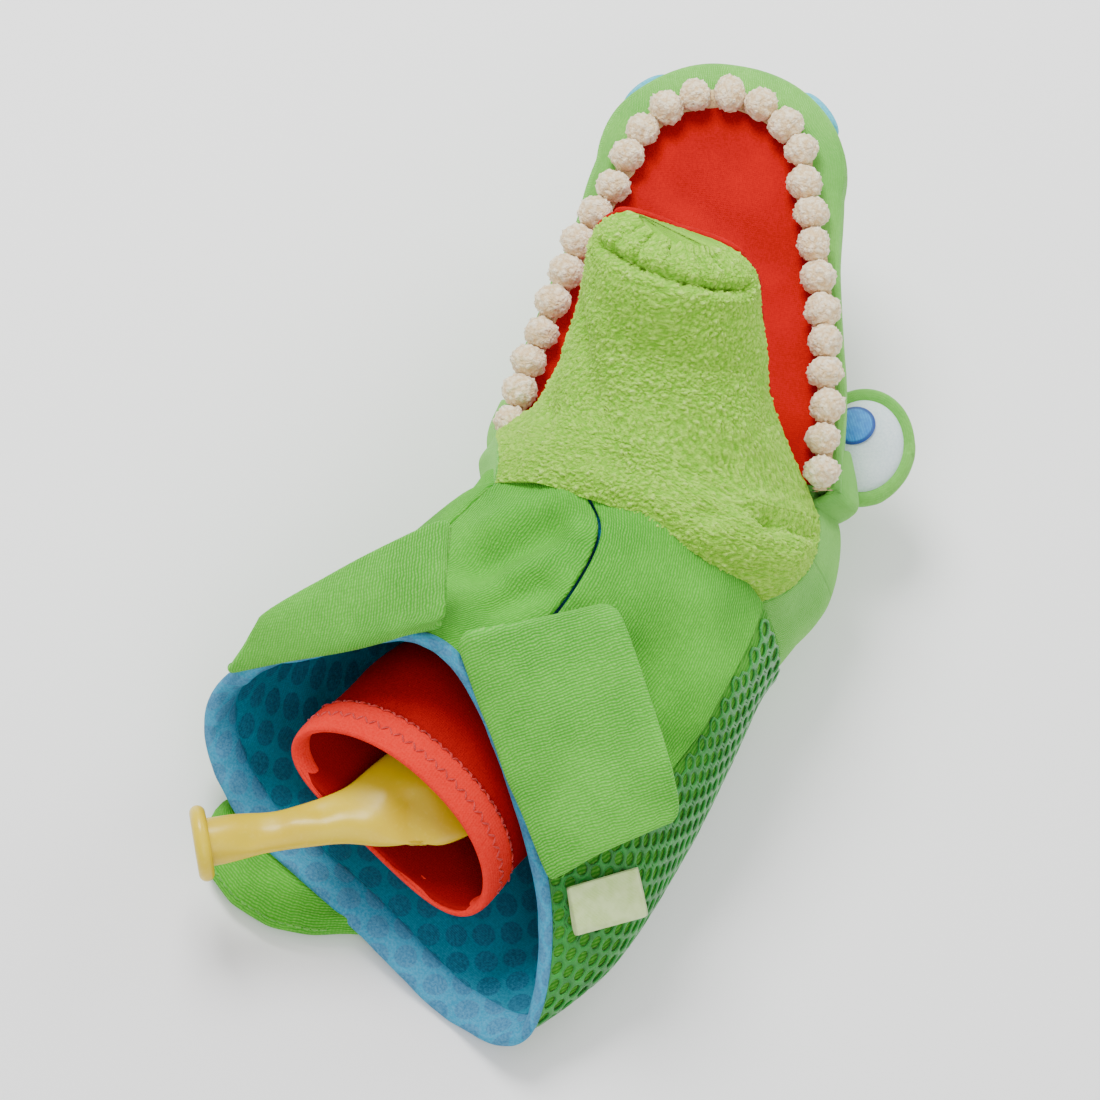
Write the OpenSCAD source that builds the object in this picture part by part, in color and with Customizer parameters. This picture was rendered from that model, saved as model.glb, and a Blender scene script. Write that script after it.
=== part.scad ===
// Crocodile glove puppet with a moving mouth, lying on its back with the mouth open.
// Millimetres. +Y runs from the open hem to the neck, +Z is the belly side, +X is the
// right-hand side seen from the hem. z = 0 is the surface that the back lies on.

/* [Fabric] */
// Thickness of velour with its backing
velour_t = 2; // [1.5:0.1:2.5]
// Thickness of the jersey lining
lining_t = 1; // [0.8:0.1:1.2]
// Thickness of the spacer mesh
mesh_t = 1.2; // [1:0.1:1.6]

/* [Head] */
// Turn of the head to the side
head_yaw = 30; // [25:1:32]
// Lift of the snout above level
head_pitch = 11; // [8:1:14]
// Roll of the head about its length
head_roll = -11; // [-14:1:-6]
// Reach of the snout from the middle of the neck
snout_reach = 145; // [138:1:150]
// Half of the mouth's width at its corners
mouth_half = 50; // [47:0.5:52]
// Half of the mouth's width where the tip's arc begins
tip_half = 29; // [27:0.5:31]
// Depth of the snout at the corners of the mouth
snout_depth = 38; // [34:0.5:42]

/* [Lower jaw] */
// Length of the lower jaw from its hinge
jaw_len = 76; // [70:1:80]
// Lift of the lower jaw above the plane of the palate
jaw_open = 51; // [40:1:53]
// Half width of the lower jaw at its root
jaw_half = 39; // [36:0.5:40]
// Half width of the lower jaw at its tip
jaw_tip_half = 23; // [21:0.5:24]

/* [Teeth] */
// Diameter of one bobble
bobble_d = 10; // [9:0.1:10.4]
// Number of bobbles round the mouth
bobble_n = 27; // [25:1:29]

/* [Eyes] */
// Diameter of the eye pads
eye_d = 37; // [34:0.5:40]
// Diameter of the embroidered iris
iris_d = 14; // [12:0.5:16]

/* [Pouch and balloon] */
// Width of the pouch
pouch_w = 74; // [70:1:78]
// Height of the pouch
pouch_h = 32; // [30:1:36]
// Depth of the pouch
pouch_depth = 62; // [55:1:66]
// Diameter of the balloon's rolled rim
balloon_rim_d = 18; // [16:0.5:19]
// Length of the balloon's neck
balloon_neck = 62; // [56:1:64]

/* [Cuffs and tail] */
// Depth of the two cuffs at the hem
cuff_depth = 44; // [40:1:46]
// Thickness of a cuff
cuff_t = 6; // [5:0.5:7]
// Length of the tail
tail_len = 46; // [42:1:50]
// Thickness of the tail
tail_t = 5; // [4:0.5:6]

/* [Hidden] */
$fn = 32;
gap = 0.4;

// Colours
velour = "#6fc143";
head_velour = "#8fd066";
terry = "#b5dd6a";
mesh_green = "#1fa03a";
teal = "#2fa3b5";
red = "#e3000f";
cream = "#f2e8d5";
latex = "#e8d51a";

// Control rings of the sleeve, hem first. Each runs clockwise seen from the hem: top of the
// belly, right belly seam, right side, back right, back, back left, left side, left belly seam
sleeve_net = [
    [[-19, -23, 83], [41, -43, 44], [67, -74, 17], [46, -80, 1], [2, -79, 7],
        [-44, -77, 11], [-70, -64, 28], [-60, -48, 58]],
    [[-12, -3, 80], [50, -17, 52], [74, -43, 22], [46, -47, 0], [0, -47, 4],
        [-46, -45, 6], [-69, -37, 28], [-52, -21, 60]],
    [[-4, 19, 81], [50, 11, 58], [69, -3, 24], [44, -5, 0], [0, -5, -1],
        [-44, -5, 1], [-63, -1, 30], [-48, 9, 64]],
    [[0, 37, 83], [48, 31, 66], [62, 27, 30], [40, 25, 1], [-2, 25, -1],
        [-40, 25, 2], [-58, 27, 34], [-46, 35, 67]],
    [[0, 48, 85], [44, 50, 67], [56, 49, 37], [36, 49, 4], [-4, 49, 0],
        [-36, 49, 6], [-52, 47, 38], [-42, 48, 69]]
];
sleeve_end = len(sleeve_net) - 1;

// Neck: the centre of both neck joints and the radii of its layers
neck_c = [-5, 72, 44];
neck_lining_r = 36;
neck_gusset_r = 40.7;
throat_r = 44;
// Where the neck's layers start and end, as angles from the way it points
neck_front = 83;
neck_rear = 122;
// Height of the palate above the neck's centre, and how far along the mouth starts
palate_z = 5;
mouth_y = 24;
// Start of the arc at the snout's tip
tip_y = snout_reach - tip_half;
// Hinge of the lower jaw
hinge = [-2, mouth_y - 1, palate_z + 2];
board_t = 1.5;

function lerp(a, b, k) = a + (b - a) * k;
function spline(a, b, c, d, k) = 0.5 * (2 * b + (c - a) * k + (2 * a - 5 * b + 4 * c - d) * k * k
    + (3 * b - a - 3 * c + d) * k * k * k);
function ring_at(ring, v) = let (n = len(ring), i = floor(v), k = v - i)
    spline(ring[(i - 1 + 2 * n) % n], ring[(i + 2 * n) % n], ring[(i + 1 + 2 * n) % n],
        ring[(i + 2 + 2 * n) % n], k);
function net_at(net, u, v) = let (m = len(net) - 1, i = min(floor(u), m - 1),
    p = [for (j = [-1:2]) ring_at(net[max(0, min(m, i + j))], v)])
    spline(p[0], p[1], p[2], p[3], u - i);
function unit(a) = a / norm(a);

// A closed solid between two grids of points, each given as a list of rows
module slab(outer, inner) {
    nr = len(outer);
    nc = len(outer[0]);
    n = nr * nc;
    pts = concat([for (r = inner) each r], [for (r = outer) each r]);
    function id(r, c, k) = k * n + r * nc + c;
    skins = [for (r = [0:nr - 2], c = [0:nc - 2])
        each [[id(r, c, 0), id(r, c + 1, 0), id(r + 1, c + 1, 0)],
            [id(r, c, 0), id(r + 1, c + 1, 0), id(r + 1, c, 0)],
            [id(r, c, 1), id(r + 1, c + 1, 1), id(r, c + 1, 1)],
            [id(r, c, 1), id(r + 1, c, 1), id(r + 1, c + 1, 1)]]];
    ends = [for (c = [0:nc - 2])
        each [[id(0, c, 0), id(0, c, 1), id(0, c + 1, 1)],
            [id(0, c, 0), id(0, c + 1, 1), id(0, c + 1, 0)],
            [id(nr - 1, c, 0), id(nr - 1, c + 1, 1), id(nr - 1, c, 1)],
            [id(nr - 1, c, 0), id(nr - 1, c + 1, 0), id(nr - 1, c + 1, 1)]]];
    sides = [for (r = [0:nr - 2])
        each [[id(r, 0, 0), id(r + 1, 0, 1), id(r, 0, 1)],
            [id(r, 0, 0), id(r + 1, 0, 0), id(r + 1, 0, 1)],
            [id(r, nc - 1, 0), id(r, nc - 1, 1), id(r + 1, nc - 1, 1)],
            [id(r, nc - 1, 0), id(r + 1, nc - 1, 1), id(r + 1, nc - 1, 0)]]];
    polyhedron(pts, concat(skins, ends, sides), convexity = 6);
}

// A closed solid between two stacks of closed rings
module ring_slab(outer, inner) {
    nr = len(outer);
    nc = len(outer[0]);
    n = nr * nc;
    pts = concat([for (r = inner) each r], [for (r = outer) each r]);
    function id(r, c, k) = k * n + r * nc + c % nc;
    skins = [for (r = [0:nr - 2], c = [0:nc - 1])
        each [[id(r, c, 0), id(r, c + 1, 0), id(r + 1, c + 1, 0)],
            [id(r, c, 0), id(r + 1, c + 1, 0), id(r + 1, c, 0)],
            [id(r, c, 1), id(r + 1, c + 1, 1), id(r, c + 1, 1)],
            [id(r, c, 1), id(r + 1, c, 1), id(r + 1, c + 1, 1)]]];
    ends = [for (c = [0:nc - 1])
        each [[id(0, c, 0), id(0, c, 1), id(0, c + 1, 1)],
            [id(0, c, 0), id(0, c + 1, 1), id(0, c + 1, 0)],
            [id(nr - 1, c, 0), id(nr - 1, c + 1, 1), id(nr - 1, c, 1)],
            [id(nr - 1, c, 0), id(nr - 1, c + 1, 0), id(nr - 1, c + 1, 1)]]];
    polyhedron(pts, concat(skins, ends), convexity = 6);
}

// ---- Sleeve ----

step = 0.02;
function sleeve_normal(u, v) = let (a = max(0, u - step), b = min(sleeve_end, u + step),
    du = net_at(sleeve_net, b, v) - net_at(sleeve_net, a, v),
    dv = net_at(sleeve_net, u, v + step) - net_at(sleeve_net, u, v - step))
    unit(cross(dv, du));
function sleeve_at(u, v, off) = net_at(sleeve_net, u, v) + off * sleeve_normal(u, v);
function sleeve_grid(u0, u1, v0, v1, off, nu, nv) = [for (i = [0:nu])
    [for (j = [0:nv]) sleeve_at(lerp(u0, u1, i / nu), lerp(v0, v1, j / nv), off)]];

// A panel of the sleeve, from its inner face at lo to its outer face at hi
module sleeve_panel(u0, u1, v0, v1, lo, hi, nu = 10, nv = 5)
    slab(sleeve_grid(u0, u1, v0, v1, hi, nu, nv), sleeve_grid(u0, u1, v0, v1, lo, nu, nv));

// Everything below the surface that the puppet lies on
module below_ground() translate([-300, -300, -20]) cube([600, 600, 20]);

seam = 0.01;
slit_v = 0.02;
hem_u = 0.07;
side_v = 1.05;
back_right_v = 2.9;
back_left_v = 5.2;
left_v = 6.95;

module back_panel() color(velour) difference() {
    sleeve_panel(hem_u, sleeve_end, back_right_v + seam, back_left_v - seam, -velour_t, 0, 12, 6);
    below_ground();
}
module left_side_panel() color(velour) difference() {
    sleeve_panel(hem_u, sleeve_end, back_left_v + seam, left_v - seam, -velour_t, 0, 12, 6);
    below_ground();
}
module right_side_panel() color(velour) difference() {
    sleeve_panel(hem_u, sleeve_end, side_v + seam, back_right_v - seam,
        -velour_t, -mesh_t, 12, 6);
    below_ground();
}
module side_mesh() color(mesh_green) difference() {
    sleeve_panel(hem_u, sleeve_end, side_v + seam, back_right_v - seam, -mesh_t, 0, 12, 6);
    below_ground();
}
module belly_right() color(velour)
    sleeve_panel(hem_u, sleeve_end, slit_v, side_v - seam, -velour_t, 0, 12, 4);
module belly_left() color(velour)
    sleeve_panel(hem_u, sleeve_end, left_v + seam, 8 - slit_v, -velour_t, 0, 12, 4);

// The lining has the panels' own columns, so that the layers lie flat on each other
function columns(v0, v1, n) = [for (j = [0:n]) lerp(v0, v1, j / n)];
lining_columns = concat(columns(slit_v, side_v - seam, 4),
    columns(side_v + seam, back_right_v - seam, 6),
    columns(back_right_v + seam, back_left_v - seam, 6),
    columns(back_left_v + seam, left_v - seam, 6), columns(left_v + seam, 8 - slit_v, 4));
function lining_rings(off) = [for (i = [0:12]) [for (v = lining_columns)
    sleeve_at(lerp(hem_u, sleeve_end, i / 12), v, off)]];
module sleeve_lining() color(teal) difference() {
    ring_slab(lining_rings(-velour_t), lining_rings(-velour_t - lining_t));
    below_ground();
}

// The lining rolls over the hem as a soft rounded binding
binding_reach = 2.6;
binding_n = 36;
binding_tuck = 0.3;
// A point round the hem, lifted off the sleeve by off and pushed out of the hem by d
function binding_at(j, off, d) = let (v = 8 * j / binding_n, p = sleeve_at(0, v, 0))
    sleeve_at(0, v, off) + (d - binding_tuck) * unit(p - net_at(sleeve_net, 0.2, v));
function binding_ring(off, d) = [for (j = [0:binding_n - 1]) binding_at(j, off, d)];
module hem_binding() color(teal) difference() {
    ring_slab([binding_ring(0, binding_reach), binding_ring(0.4, 0.75 * binding_reach),
            binding_ring(0.2, 0)],
        [binding_ring(-2.4, binding_reach), binding_ring(-3.2, 0.75 * binding_reach),
            binding_ring(-3.4, 0)]);
    below_ground();
}

label_w = 22;
label_h = 15;
module woven_label() color(terry) translate(sleeve_at(0.55, side_v + 0.12, 2.8))
    rotate([0, 0, -31]) rotate([0, 38, 0])
    translate([0, -label_w / 2, -0.8]) cube([label_h, label_w, 1.6]);

// ---- Pouch and balloon ----

pouch_mouth = [-3, -64, 41];
pouch_tilt = 14;
wall = 1.4;
pouch_hi = pouch_h / pouch_w;
module on_pouch() translate(pouch_mouth) rotate([0, pouch_tilt, 0]) rotate([-90, 0, 0])
    children();
// An oval of the pouch's proportions, drawn as a scaled circle
module oval(w) scale([1, pouch_hi, 1]) circle(d = w, $fn = 40);
module balloon_pouch() color(red) on_pouch() difference() {
    scale([1, pouch_hi, 1]) rotate_extrude($fn = 48) difference() {
        union() {
            square([pouch_w / 2, pouch_depth - 16]);
            translate([0, pouch_depth - 16]) scale([1, 32 / pouch_w])
                intersection() { circle(d = pouch_w); translate([0, -1]) square(pouch_w); }
        }
        translate([0, -1]) square([pouch_w / 2 - wall, pouch_depth - 15]);
        translate([0, pouch_depth - 16]) scale([1, 28 / pouch_w])
            intersection() { circle(d = pouch_w - 2 * wall); translate([0, -1]) square(pouch_w); }
    }
}
module pouch_band() color("#f0483c") on_pouch() translate([0, 0, -0.2]) difference() {
    linear_extrude(11) oval(pouch_w + 2.4);
    translate([0, 0, -1]) linear_extrude(13) oval(pouch_w + 0.3);
}

// Balloon: a flat limp body in the pouch, a neck that leans out over the hem, a rolled rim
balloon_root = [-2, -53, 41];
balloon_lean = -40;
module balloon() color(latex) {
    translate(pouch_mouth) rotate([0, pouch_tilt, 0]) translate([3, 26, -4])
        scale([1, 0.9, 0.28]) sphere(d = 40, $fn = 36);
    translate(balloon_root) rotate([0, 0, balloon_lean]) rotate([97, 0, 0])
        rotate_extrude($fn = 36) difference() {
            union() {
                polygon([[0, -14], [7, -14], [7.5, 0], [6.5, 14], [6, 30], [7.6, balloon_neck],
                    [0, balloon_neck]]);
                translate([balloon_rim_d / 2 - 1.6, balloon_neck]) circle(1.6, $fn = 16);
            }
            polygon([[0, 20], [5.2, 20], [5.2, 32], [6.8, balloon_neck + 3],
                [0, balloon_neck + 3]]);
        }
}

// ---- Cuffs and tail ----

// A cuff stands on the hem from edge point a to edge point b and lies back over the belly
function cuff_row(a, b, c, d, k, lift, bulge, n) = [for (j = [0:n]) let (m = j / n)
    lerp(lerp(a, b, m), lerp(c, d, m), k)
        + [0, 0, lift + bulge * sin(180 * min(k, 0.9)) * (0.4 + 0.6 * sin(180 * m))]];
module cuff(a, b, c, d, bulge) {
    ks = [for (i = [0:6]) i / 6];
    outer = [for (k = ks) cuff_row(a, b, c, d, k, cuff_t, bulge, 6)];
    inner = [for (k = ks) cuff_row(a, b, c, d, k, 0, bulge, 6)];
    slab(outer, inner);
}
// Ends of the two lines at the hem about which the cuffs lift
hem_top_r = [-17, -20, 85.5];
hem_right = [46, -44, 47];
hem_top_l = [-24, -21, 88.6];
hem_left = [-68, -52, 58.6];
cuff_k = cuff_depth / 44;
module cuff_right() color(velour)
    cuff(hem_top_r, hem_right, hem_top_r + cuff_k * [28, 40, 3.5], hem_right + cuff_k * [20, 34, 16], 3);
module cuff_left() color(velour)
    cuff(hem_left, hem_top_l, hem_left + cuff_k * [2, 12, 12], hem_top_l + cuff_k * [-18, 25, 7], 3);

tail_root = [8, -73, tail_t / 2];
tail_turn = 96;
module tail() color(velour) difference() {
    translate(tail_root) rotate([0, 0, tail_turn]) hull() {
        translate([3, 3, -1.5]) scale([1, 0.6, 0.4]) sphere(d = 16);
        translate([-3, tail_len / 2, 0]) scale([1, 1, tail_t / 36]) sphere(d = 36);
        translate([0, tail_len, 0]) scale([1, 1, tail_t / 34]) sphere(d = 34);
    }
    below_ground();
}

// ---- Neck ----

neck_yaw = head_yaw / 2;
module on_neck() translate(neck_c) rotate([0, 0, neck_yaw]) children();
// A zone of a hollow ball about the Y axis, between two angles from +Y
module zone(r, t, a0, a1) rotate([-90, 0, 0]) rotate_extrude($fn = 60)
    polygon(concat([for (k = [0:10]) let (a = lerp(a0, a1, k / 10)) r * [sin(a), cos(a)]],
        [for (k = [10:-1:0]) let (a = lerp(a0, a1, k / 10)) (r - t) * [sin(a), cos(a)]]));
module neck_lining() color(teal) on_neck() zone(neck_lining_r, lining_t, neck_front, neck_rear);
module neck_gusset() color(velour) on_neck() zone(neck_gusset_r, velour_t, neck_front, neck_rear);

// ---- Head ----

module on_head() translate(neck_c) rotate([0, 0, head_yaw]) rotate([head_pitch, 0, 0])
    rotate([0, head_roll, 0]) children();

// Half width of the mouth at y, along gently bowed arms and then round the tip
arm_bow = 4;
function arm_x(k) = lerp(mouth_half, tip_half, k) + arm_bow * sin(180 * k);
function mouth_x(y) = y < tip_y ? arm_x((y - mouth_y) / (tip_y - mouth_y))
    : sqrt(max(0, tip_half * tip_half - (y - tip_y) * (y - tip_y)));
// The snout swells past the mouth's edge: by this much at the side and at the tip
side_swell = 4;
tip_swell = 8;
tip_k = 0.62;
function snout_y(k) = k < tip_k ? lerp(mouth_y - 4, tip_y, k / tip_k)
    : tip_y + (tip_half + tip_swell) * sin(90 * (k - tip_k) / (1 - tip_k));
function tip_round(y) = sqrt(max(0, 1 - pow((y - tip_y) / (tip_half + tip_swell), 2)));
function snout_w(y) = y < tip_y ? mouth_x(max(y, mouth_y)) + side_swell
    : (tip_half + side_swell) * tip_round(y);
function snout_d(y) = let (k = (y - mouth_y) / (tip_y - mouth_y))
    snout_depth * (y < tip_y ? lerp(1, 0.78, k) : 0.78 * tip_round(y));
// One row across the back of the snout, from the right edge to the left, grown by off
function snout_row(y, off, n) = [for (j = [0:n]) let (a = 180 * j / n,
    c = cos(a), s = sin(a), w = max(0.8, snout_w(y) + off), d = max(0.8, snout_d(y) + off))
    [w * sign(c) * pow(abs(c), 0.85) * (1 + 0.06 * sin(2 * min(a, 180 - a))), y,
        palate_z - 1 - d * pow(s, 0.85)]];
module snout_shell() {
    ys = [for (i = [0:16]) snout_y(i / 16)];
    slab([for (y = ys) snout_row(y, 0, 12)],
        [for (y = ys) snout_row(min(y, snout_reach + tip_swell - 3), -3.2, 12)]);
}
module snout_cover() color(head_velour) on_head() snout_shell();

// The mouth's outline, shrunk by edge
module mouth_outline(edge) {
    ks = [for (i = [0:8]) i / 8];
    polygon(concat([for (k = ks) [arm_x(k) - edge, lerp(mouth_y, tip_y, k)]],
        [for (i = [8:-1:0]) let (k = i / 8) [edge - arm_x(k), lerp(mouth_y, tip_y, k)]]));
    translate([0, tip_y]) circle(tip_half - edge, $fn = 64);
}
module mouth_plate(edge, z, t) translate([0, 0, z]) linear_extrude(t) mouth_outline(edge);
module upper_mouth_board() color("white") on_head() mouth_plate(4, palate_z - 2.7, board_t);
module upper_palate() color(red) on_head() mouth_plate(3, palate_z - 1.1, 1.3);

// Places of the bobbles along the edge of the mouth: one arm, the tip's arc, the other arm
arm = norm([mouth_half - tip_half, tip_y - mouth_y]);
arc = PI * tip_half;
trim_len = 2 * arm + arc;
function trim_at(s) = s < arm ? [arm_x(s / arm), lerp(mouth_y, tip_y, s / arm)]
    : s > arm + arc ? let (k = (trim_len - s) / arm) [-arm_x(k), lerp(mouth_y, tip_y, k)]
    : let (a = 180 * (s - arm) / arc) [tip_half * cos(a), tip_y + tip_half * sin(a)];
module tooth_trim() color(cream) on_head() for (i = [0:bobble_n - 1]) {
    p = trim_at(trim_len * (i + 0.5) / bobble_n);
    translate([p[0], p[1], palate_z + bobble_d / 2 + 0.4]) sphere(d = bobble_d, $fn = 24);
}
module trim_tape() color(cream) on_head() translate([0, 0, palate_z - 0.9]) linear_extrude(1)
    difference() {
        mouth_outline(-2.5);
        mouth_outline(2.8);
    }

// Nostrils: oval patches on the back of the tip
module nostril(side) on_head() difference() {
    translate([side * 17, tip_y + 16, palate_z - 1 - snout_depth * 0.5])
        rotate([0, side * -35, 0]) rotate([-35, 0, 0])
        scale([1, 1.3, 0.42]) sphere(d = 14, $fn = 24);
    snout_shell();
}
module nostril_left() color("#6cc9dd") nostril(-1);
module nostril_right() color("#6cc9dd") nostril(1);

// Eyes: padded discs that stand out from the back of the head
eye_y = 46;
// The right eye sticks out past the head; the head lies on the left one
eye_right = [59, eye_y, -28];
eye_left = [-34, eye_y, -40];
module on_eye(side) on_head() translate(side > 0 ? eye_right : eye_left)
    rotate([0, side > 0 ? 0 : 8, 0]) children();
module eye_pad(side) on_eye(side) translate([0, 0, 0.5]) scale([0.8, 1, 1]) intersection() {
    scale([1, 1, 0.36]) sphere(d = eye_d - 5, $fn = 40);
    cylinder(h = 30, d = 80);
}
module eye_lid(side) on_eye(side) scale([0.84, 1, 1]) difference() {
    scale([1, 1, 0.34]) sphere(d = eye_d, $fn = 40);
    translate([0, 0, 0.2]) cylinder(h = 30, d = 80);
}
module iris(side) on_eye(side) translate([-side * 3, 6, 6.6]) rotate([-8, 0, 0])
    cylinder(h = 0.9, d = iris_d, $fn = 40);
module eye_pad_left() color("#dde8ea") eye_pad(-1);
module eye_pad_right() color("#dde8ea") eye_pad(1);
module eye_lid_left() color(head_velour) eye_lid(-1);
module eye_lid_right() color(head_velour) eye_lid(1);
module iris_left() color("#0099e5") iris(-1);
module iris_right() color("#0099e5") iris(1);

// The velour round the back of the head, and the terry under the chin
module head_back() color(head_velour) on_head() {
    rows = [for (y = [12, 16, mouth_y - 4 - gap]) [y, (mouth_y - y) / 3]];
    slab([for (r = rows) [for (p = snout_row(mouth_y, -r[1], 12)) [p[0], r[0], p[2]]]],
        [for (r = rows) [for (p = snout_row(mouth_y, -r[1] - 3, 12)) [p[0], r[0], p[2]]]]);
}
module throat_gusset() color(terry) on_head() intersection() {
    zone(throat_r, velour_t, 67, 84);
    translate([-100, -100, palate_z + 22]) cube([200, 200, 100]);
}

// ---- Lower jaw ----

module on_jaw() on_head() translate(hinge) rotate([jaw_open, 0, 0]) children();
function jaw_w(y) = let (k = y / jaw_len) lerp(jaw_half, jaw_tip_half, pow(k, 0.8))
    * sqrt(max(0.02, 1 - pow(max(0, (k - 0.86) / 0.16), 2)));
function jaw_d(y) = let (k = y / jaw_len) lerp(30, 17, k)
    * sqrt(max(0.03, 1 - pow(max(0, (k - 0.8) / 0.22), 2)));
// One row over the outside of the jaw; its root leans forward away from the throat
function jaw_row(k, off, n) = [for (j = [0:n]) let (a = 180 * j / n, c = cos(a), s = sin(a),
    y = lerp(4 + 26 * s, jaw_len, k))
    [(jaw_w(y) + off) * sign(c) * pow(abs(c), 0.8), y, max(0.6, (jaw_d(y) + off) * pow(s, 0.8))]];
module lower_jaw_cover() color(terry) on_jaw() translate([0, 0, 1.8])
    slab([for (i = [10:-1:0]) jaw_row(pow(i / 10, 0.8), 0, 12)],
        [for (i = [10:-1:0]) let (k = pow(i / 10, 0.8)) [for (p = jaw_row(k, -3, 12))
            [p[0], min(p[1], jaw_len - 2), max(0, p[2] - 0.1)]]]);
module jaw_plate(edge, z, t) translate([0, 0, z]) linear_extrude(t)
    polygon(concat([for (i = [0:10]) let (y = lerp(4, jaw_len - edge, i / 10)) [jaw_w(y) - edge, y]],
        [for (i = [10:-1:0]) let (y = lerp(4, jaw_len - edge, i / 10)) [edge - jaw_w(y), y]]));
module lower_mouth_board() color("white") on_jaw() jaw_plate(1.5, 0.2, board_t);
module lower_palate() color(red) on_jaw() jaw_plate(0.5, -1.2, 1.3);

back_panel();
left_side_panel();
right_side_panel();
side_mesh();
belly_left();
belly_right();
sleeve_lining();
hem_binding();
woven_label();
balloon_pouch();
pouch_band();
cuff_left();
cuff_right();
tail();
balloon();
neck_lining();
neck_gusset();
throat_gusset();
head_back();
snout_cover();
upper_mouth_board();
upper_palate();
tooth_trim();
trim_tape();
nostril_left();
nostril_right();
eye_pad_left();
eye_pad_right();
iris_left();
iris_right();
eye_lid_left();
eye_lid_right();
lower_jaw_cover();
lower_mouth_board();
lower_palate();
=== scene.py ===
"""Looks of the crocodile glove puppet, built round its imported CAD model.

Shapes are worked out in millimetres, in the CAD frame, and written in metres: the puppet lies
on its back on z = 0, +Y runs from the hem to the neck and +Z is the belly side.
"""
from math import cos, pi, radians, sin, sqrt

import bmesh
import bpy
import numpy as np
from mathutils import Matrix, Vector, noise


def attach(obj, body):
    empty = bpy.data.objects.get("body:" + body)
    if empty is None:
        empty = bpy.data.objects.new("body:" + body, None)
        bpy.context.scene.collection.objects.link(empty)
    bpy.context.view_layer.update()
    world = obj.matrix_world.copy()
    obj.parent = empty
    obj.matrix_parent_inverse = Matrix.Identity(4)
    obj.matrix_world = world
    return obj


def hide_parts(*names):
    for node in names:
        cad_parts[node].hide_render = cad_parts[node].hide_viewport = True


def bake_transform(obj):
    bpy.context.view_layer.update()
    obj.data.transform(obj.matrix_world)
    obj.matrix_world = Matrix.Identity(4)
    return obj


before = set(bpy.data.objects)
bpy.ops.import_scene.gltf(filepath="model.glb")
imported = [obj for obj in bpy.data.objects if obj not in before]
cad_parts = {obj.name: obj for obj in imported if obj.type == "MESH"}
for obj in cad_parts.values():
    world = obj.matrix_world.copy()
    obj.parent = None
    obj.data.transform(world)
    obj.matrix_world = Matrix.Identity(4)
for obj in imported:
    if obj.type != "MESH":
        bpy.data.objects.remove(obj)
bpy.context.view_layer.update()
MM = 0.001
# noise_vector, which the pile and the bobbles use, takes its seed from the clock without this
noise.seed_set(29)

# ---- Camera, floor and light ----

TARGET = Vector((-25, 45, 40)) * MM
DISTANCE = 1.15
AZIMUTH, ELEVATION, ROLL = radians(22), radians(62), radians(19)
LENS = 120.4

across = Vector((cos(AZIMUTH), sin(AZIMUTH), 0))
ahead = Vector((-sin(AZIMUTH), cos(AZIMUTH), 0))
sight = ahead * cos(ELEVATION) - Vector((0, 0, sin(ELEVATION)))
above = across.cross(sight)
right = across * cos(ROLL) + above * sin(ROLL)
top = above * cos(ROLL) - across * sin(ROLL)

camera = bpy.data.objects.new("camera", bpy.data.cameras.new("camera"))
camera.data.lens = LENS
camera.matrix_world = (Matrix.Translation(TARGET - sight * DISTANCE)
                       @ Matrix((right, top, -sight)).transposed().to_4x4())
bpy.context.scene.collection.objects.link(camera)
bpy.context.scene.camera = camera


# The view transform pales strong colours, so every colour is deepened by this power first
DEEPEN = 1.35


def rgb(code):
    """A #rrggbb colour as linear red, green, blue and alpha, deepened for the view transform"""
    parts = [int(code[i:i + 2], 16) / 255 for i in (1, 3, 5)]
    return [(p / 12.92 if p < 0.04045 else ((p + 0.055) / 1.055) ** 2.4) ** DEEPEN
            for p in parts] + [1]


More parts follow.
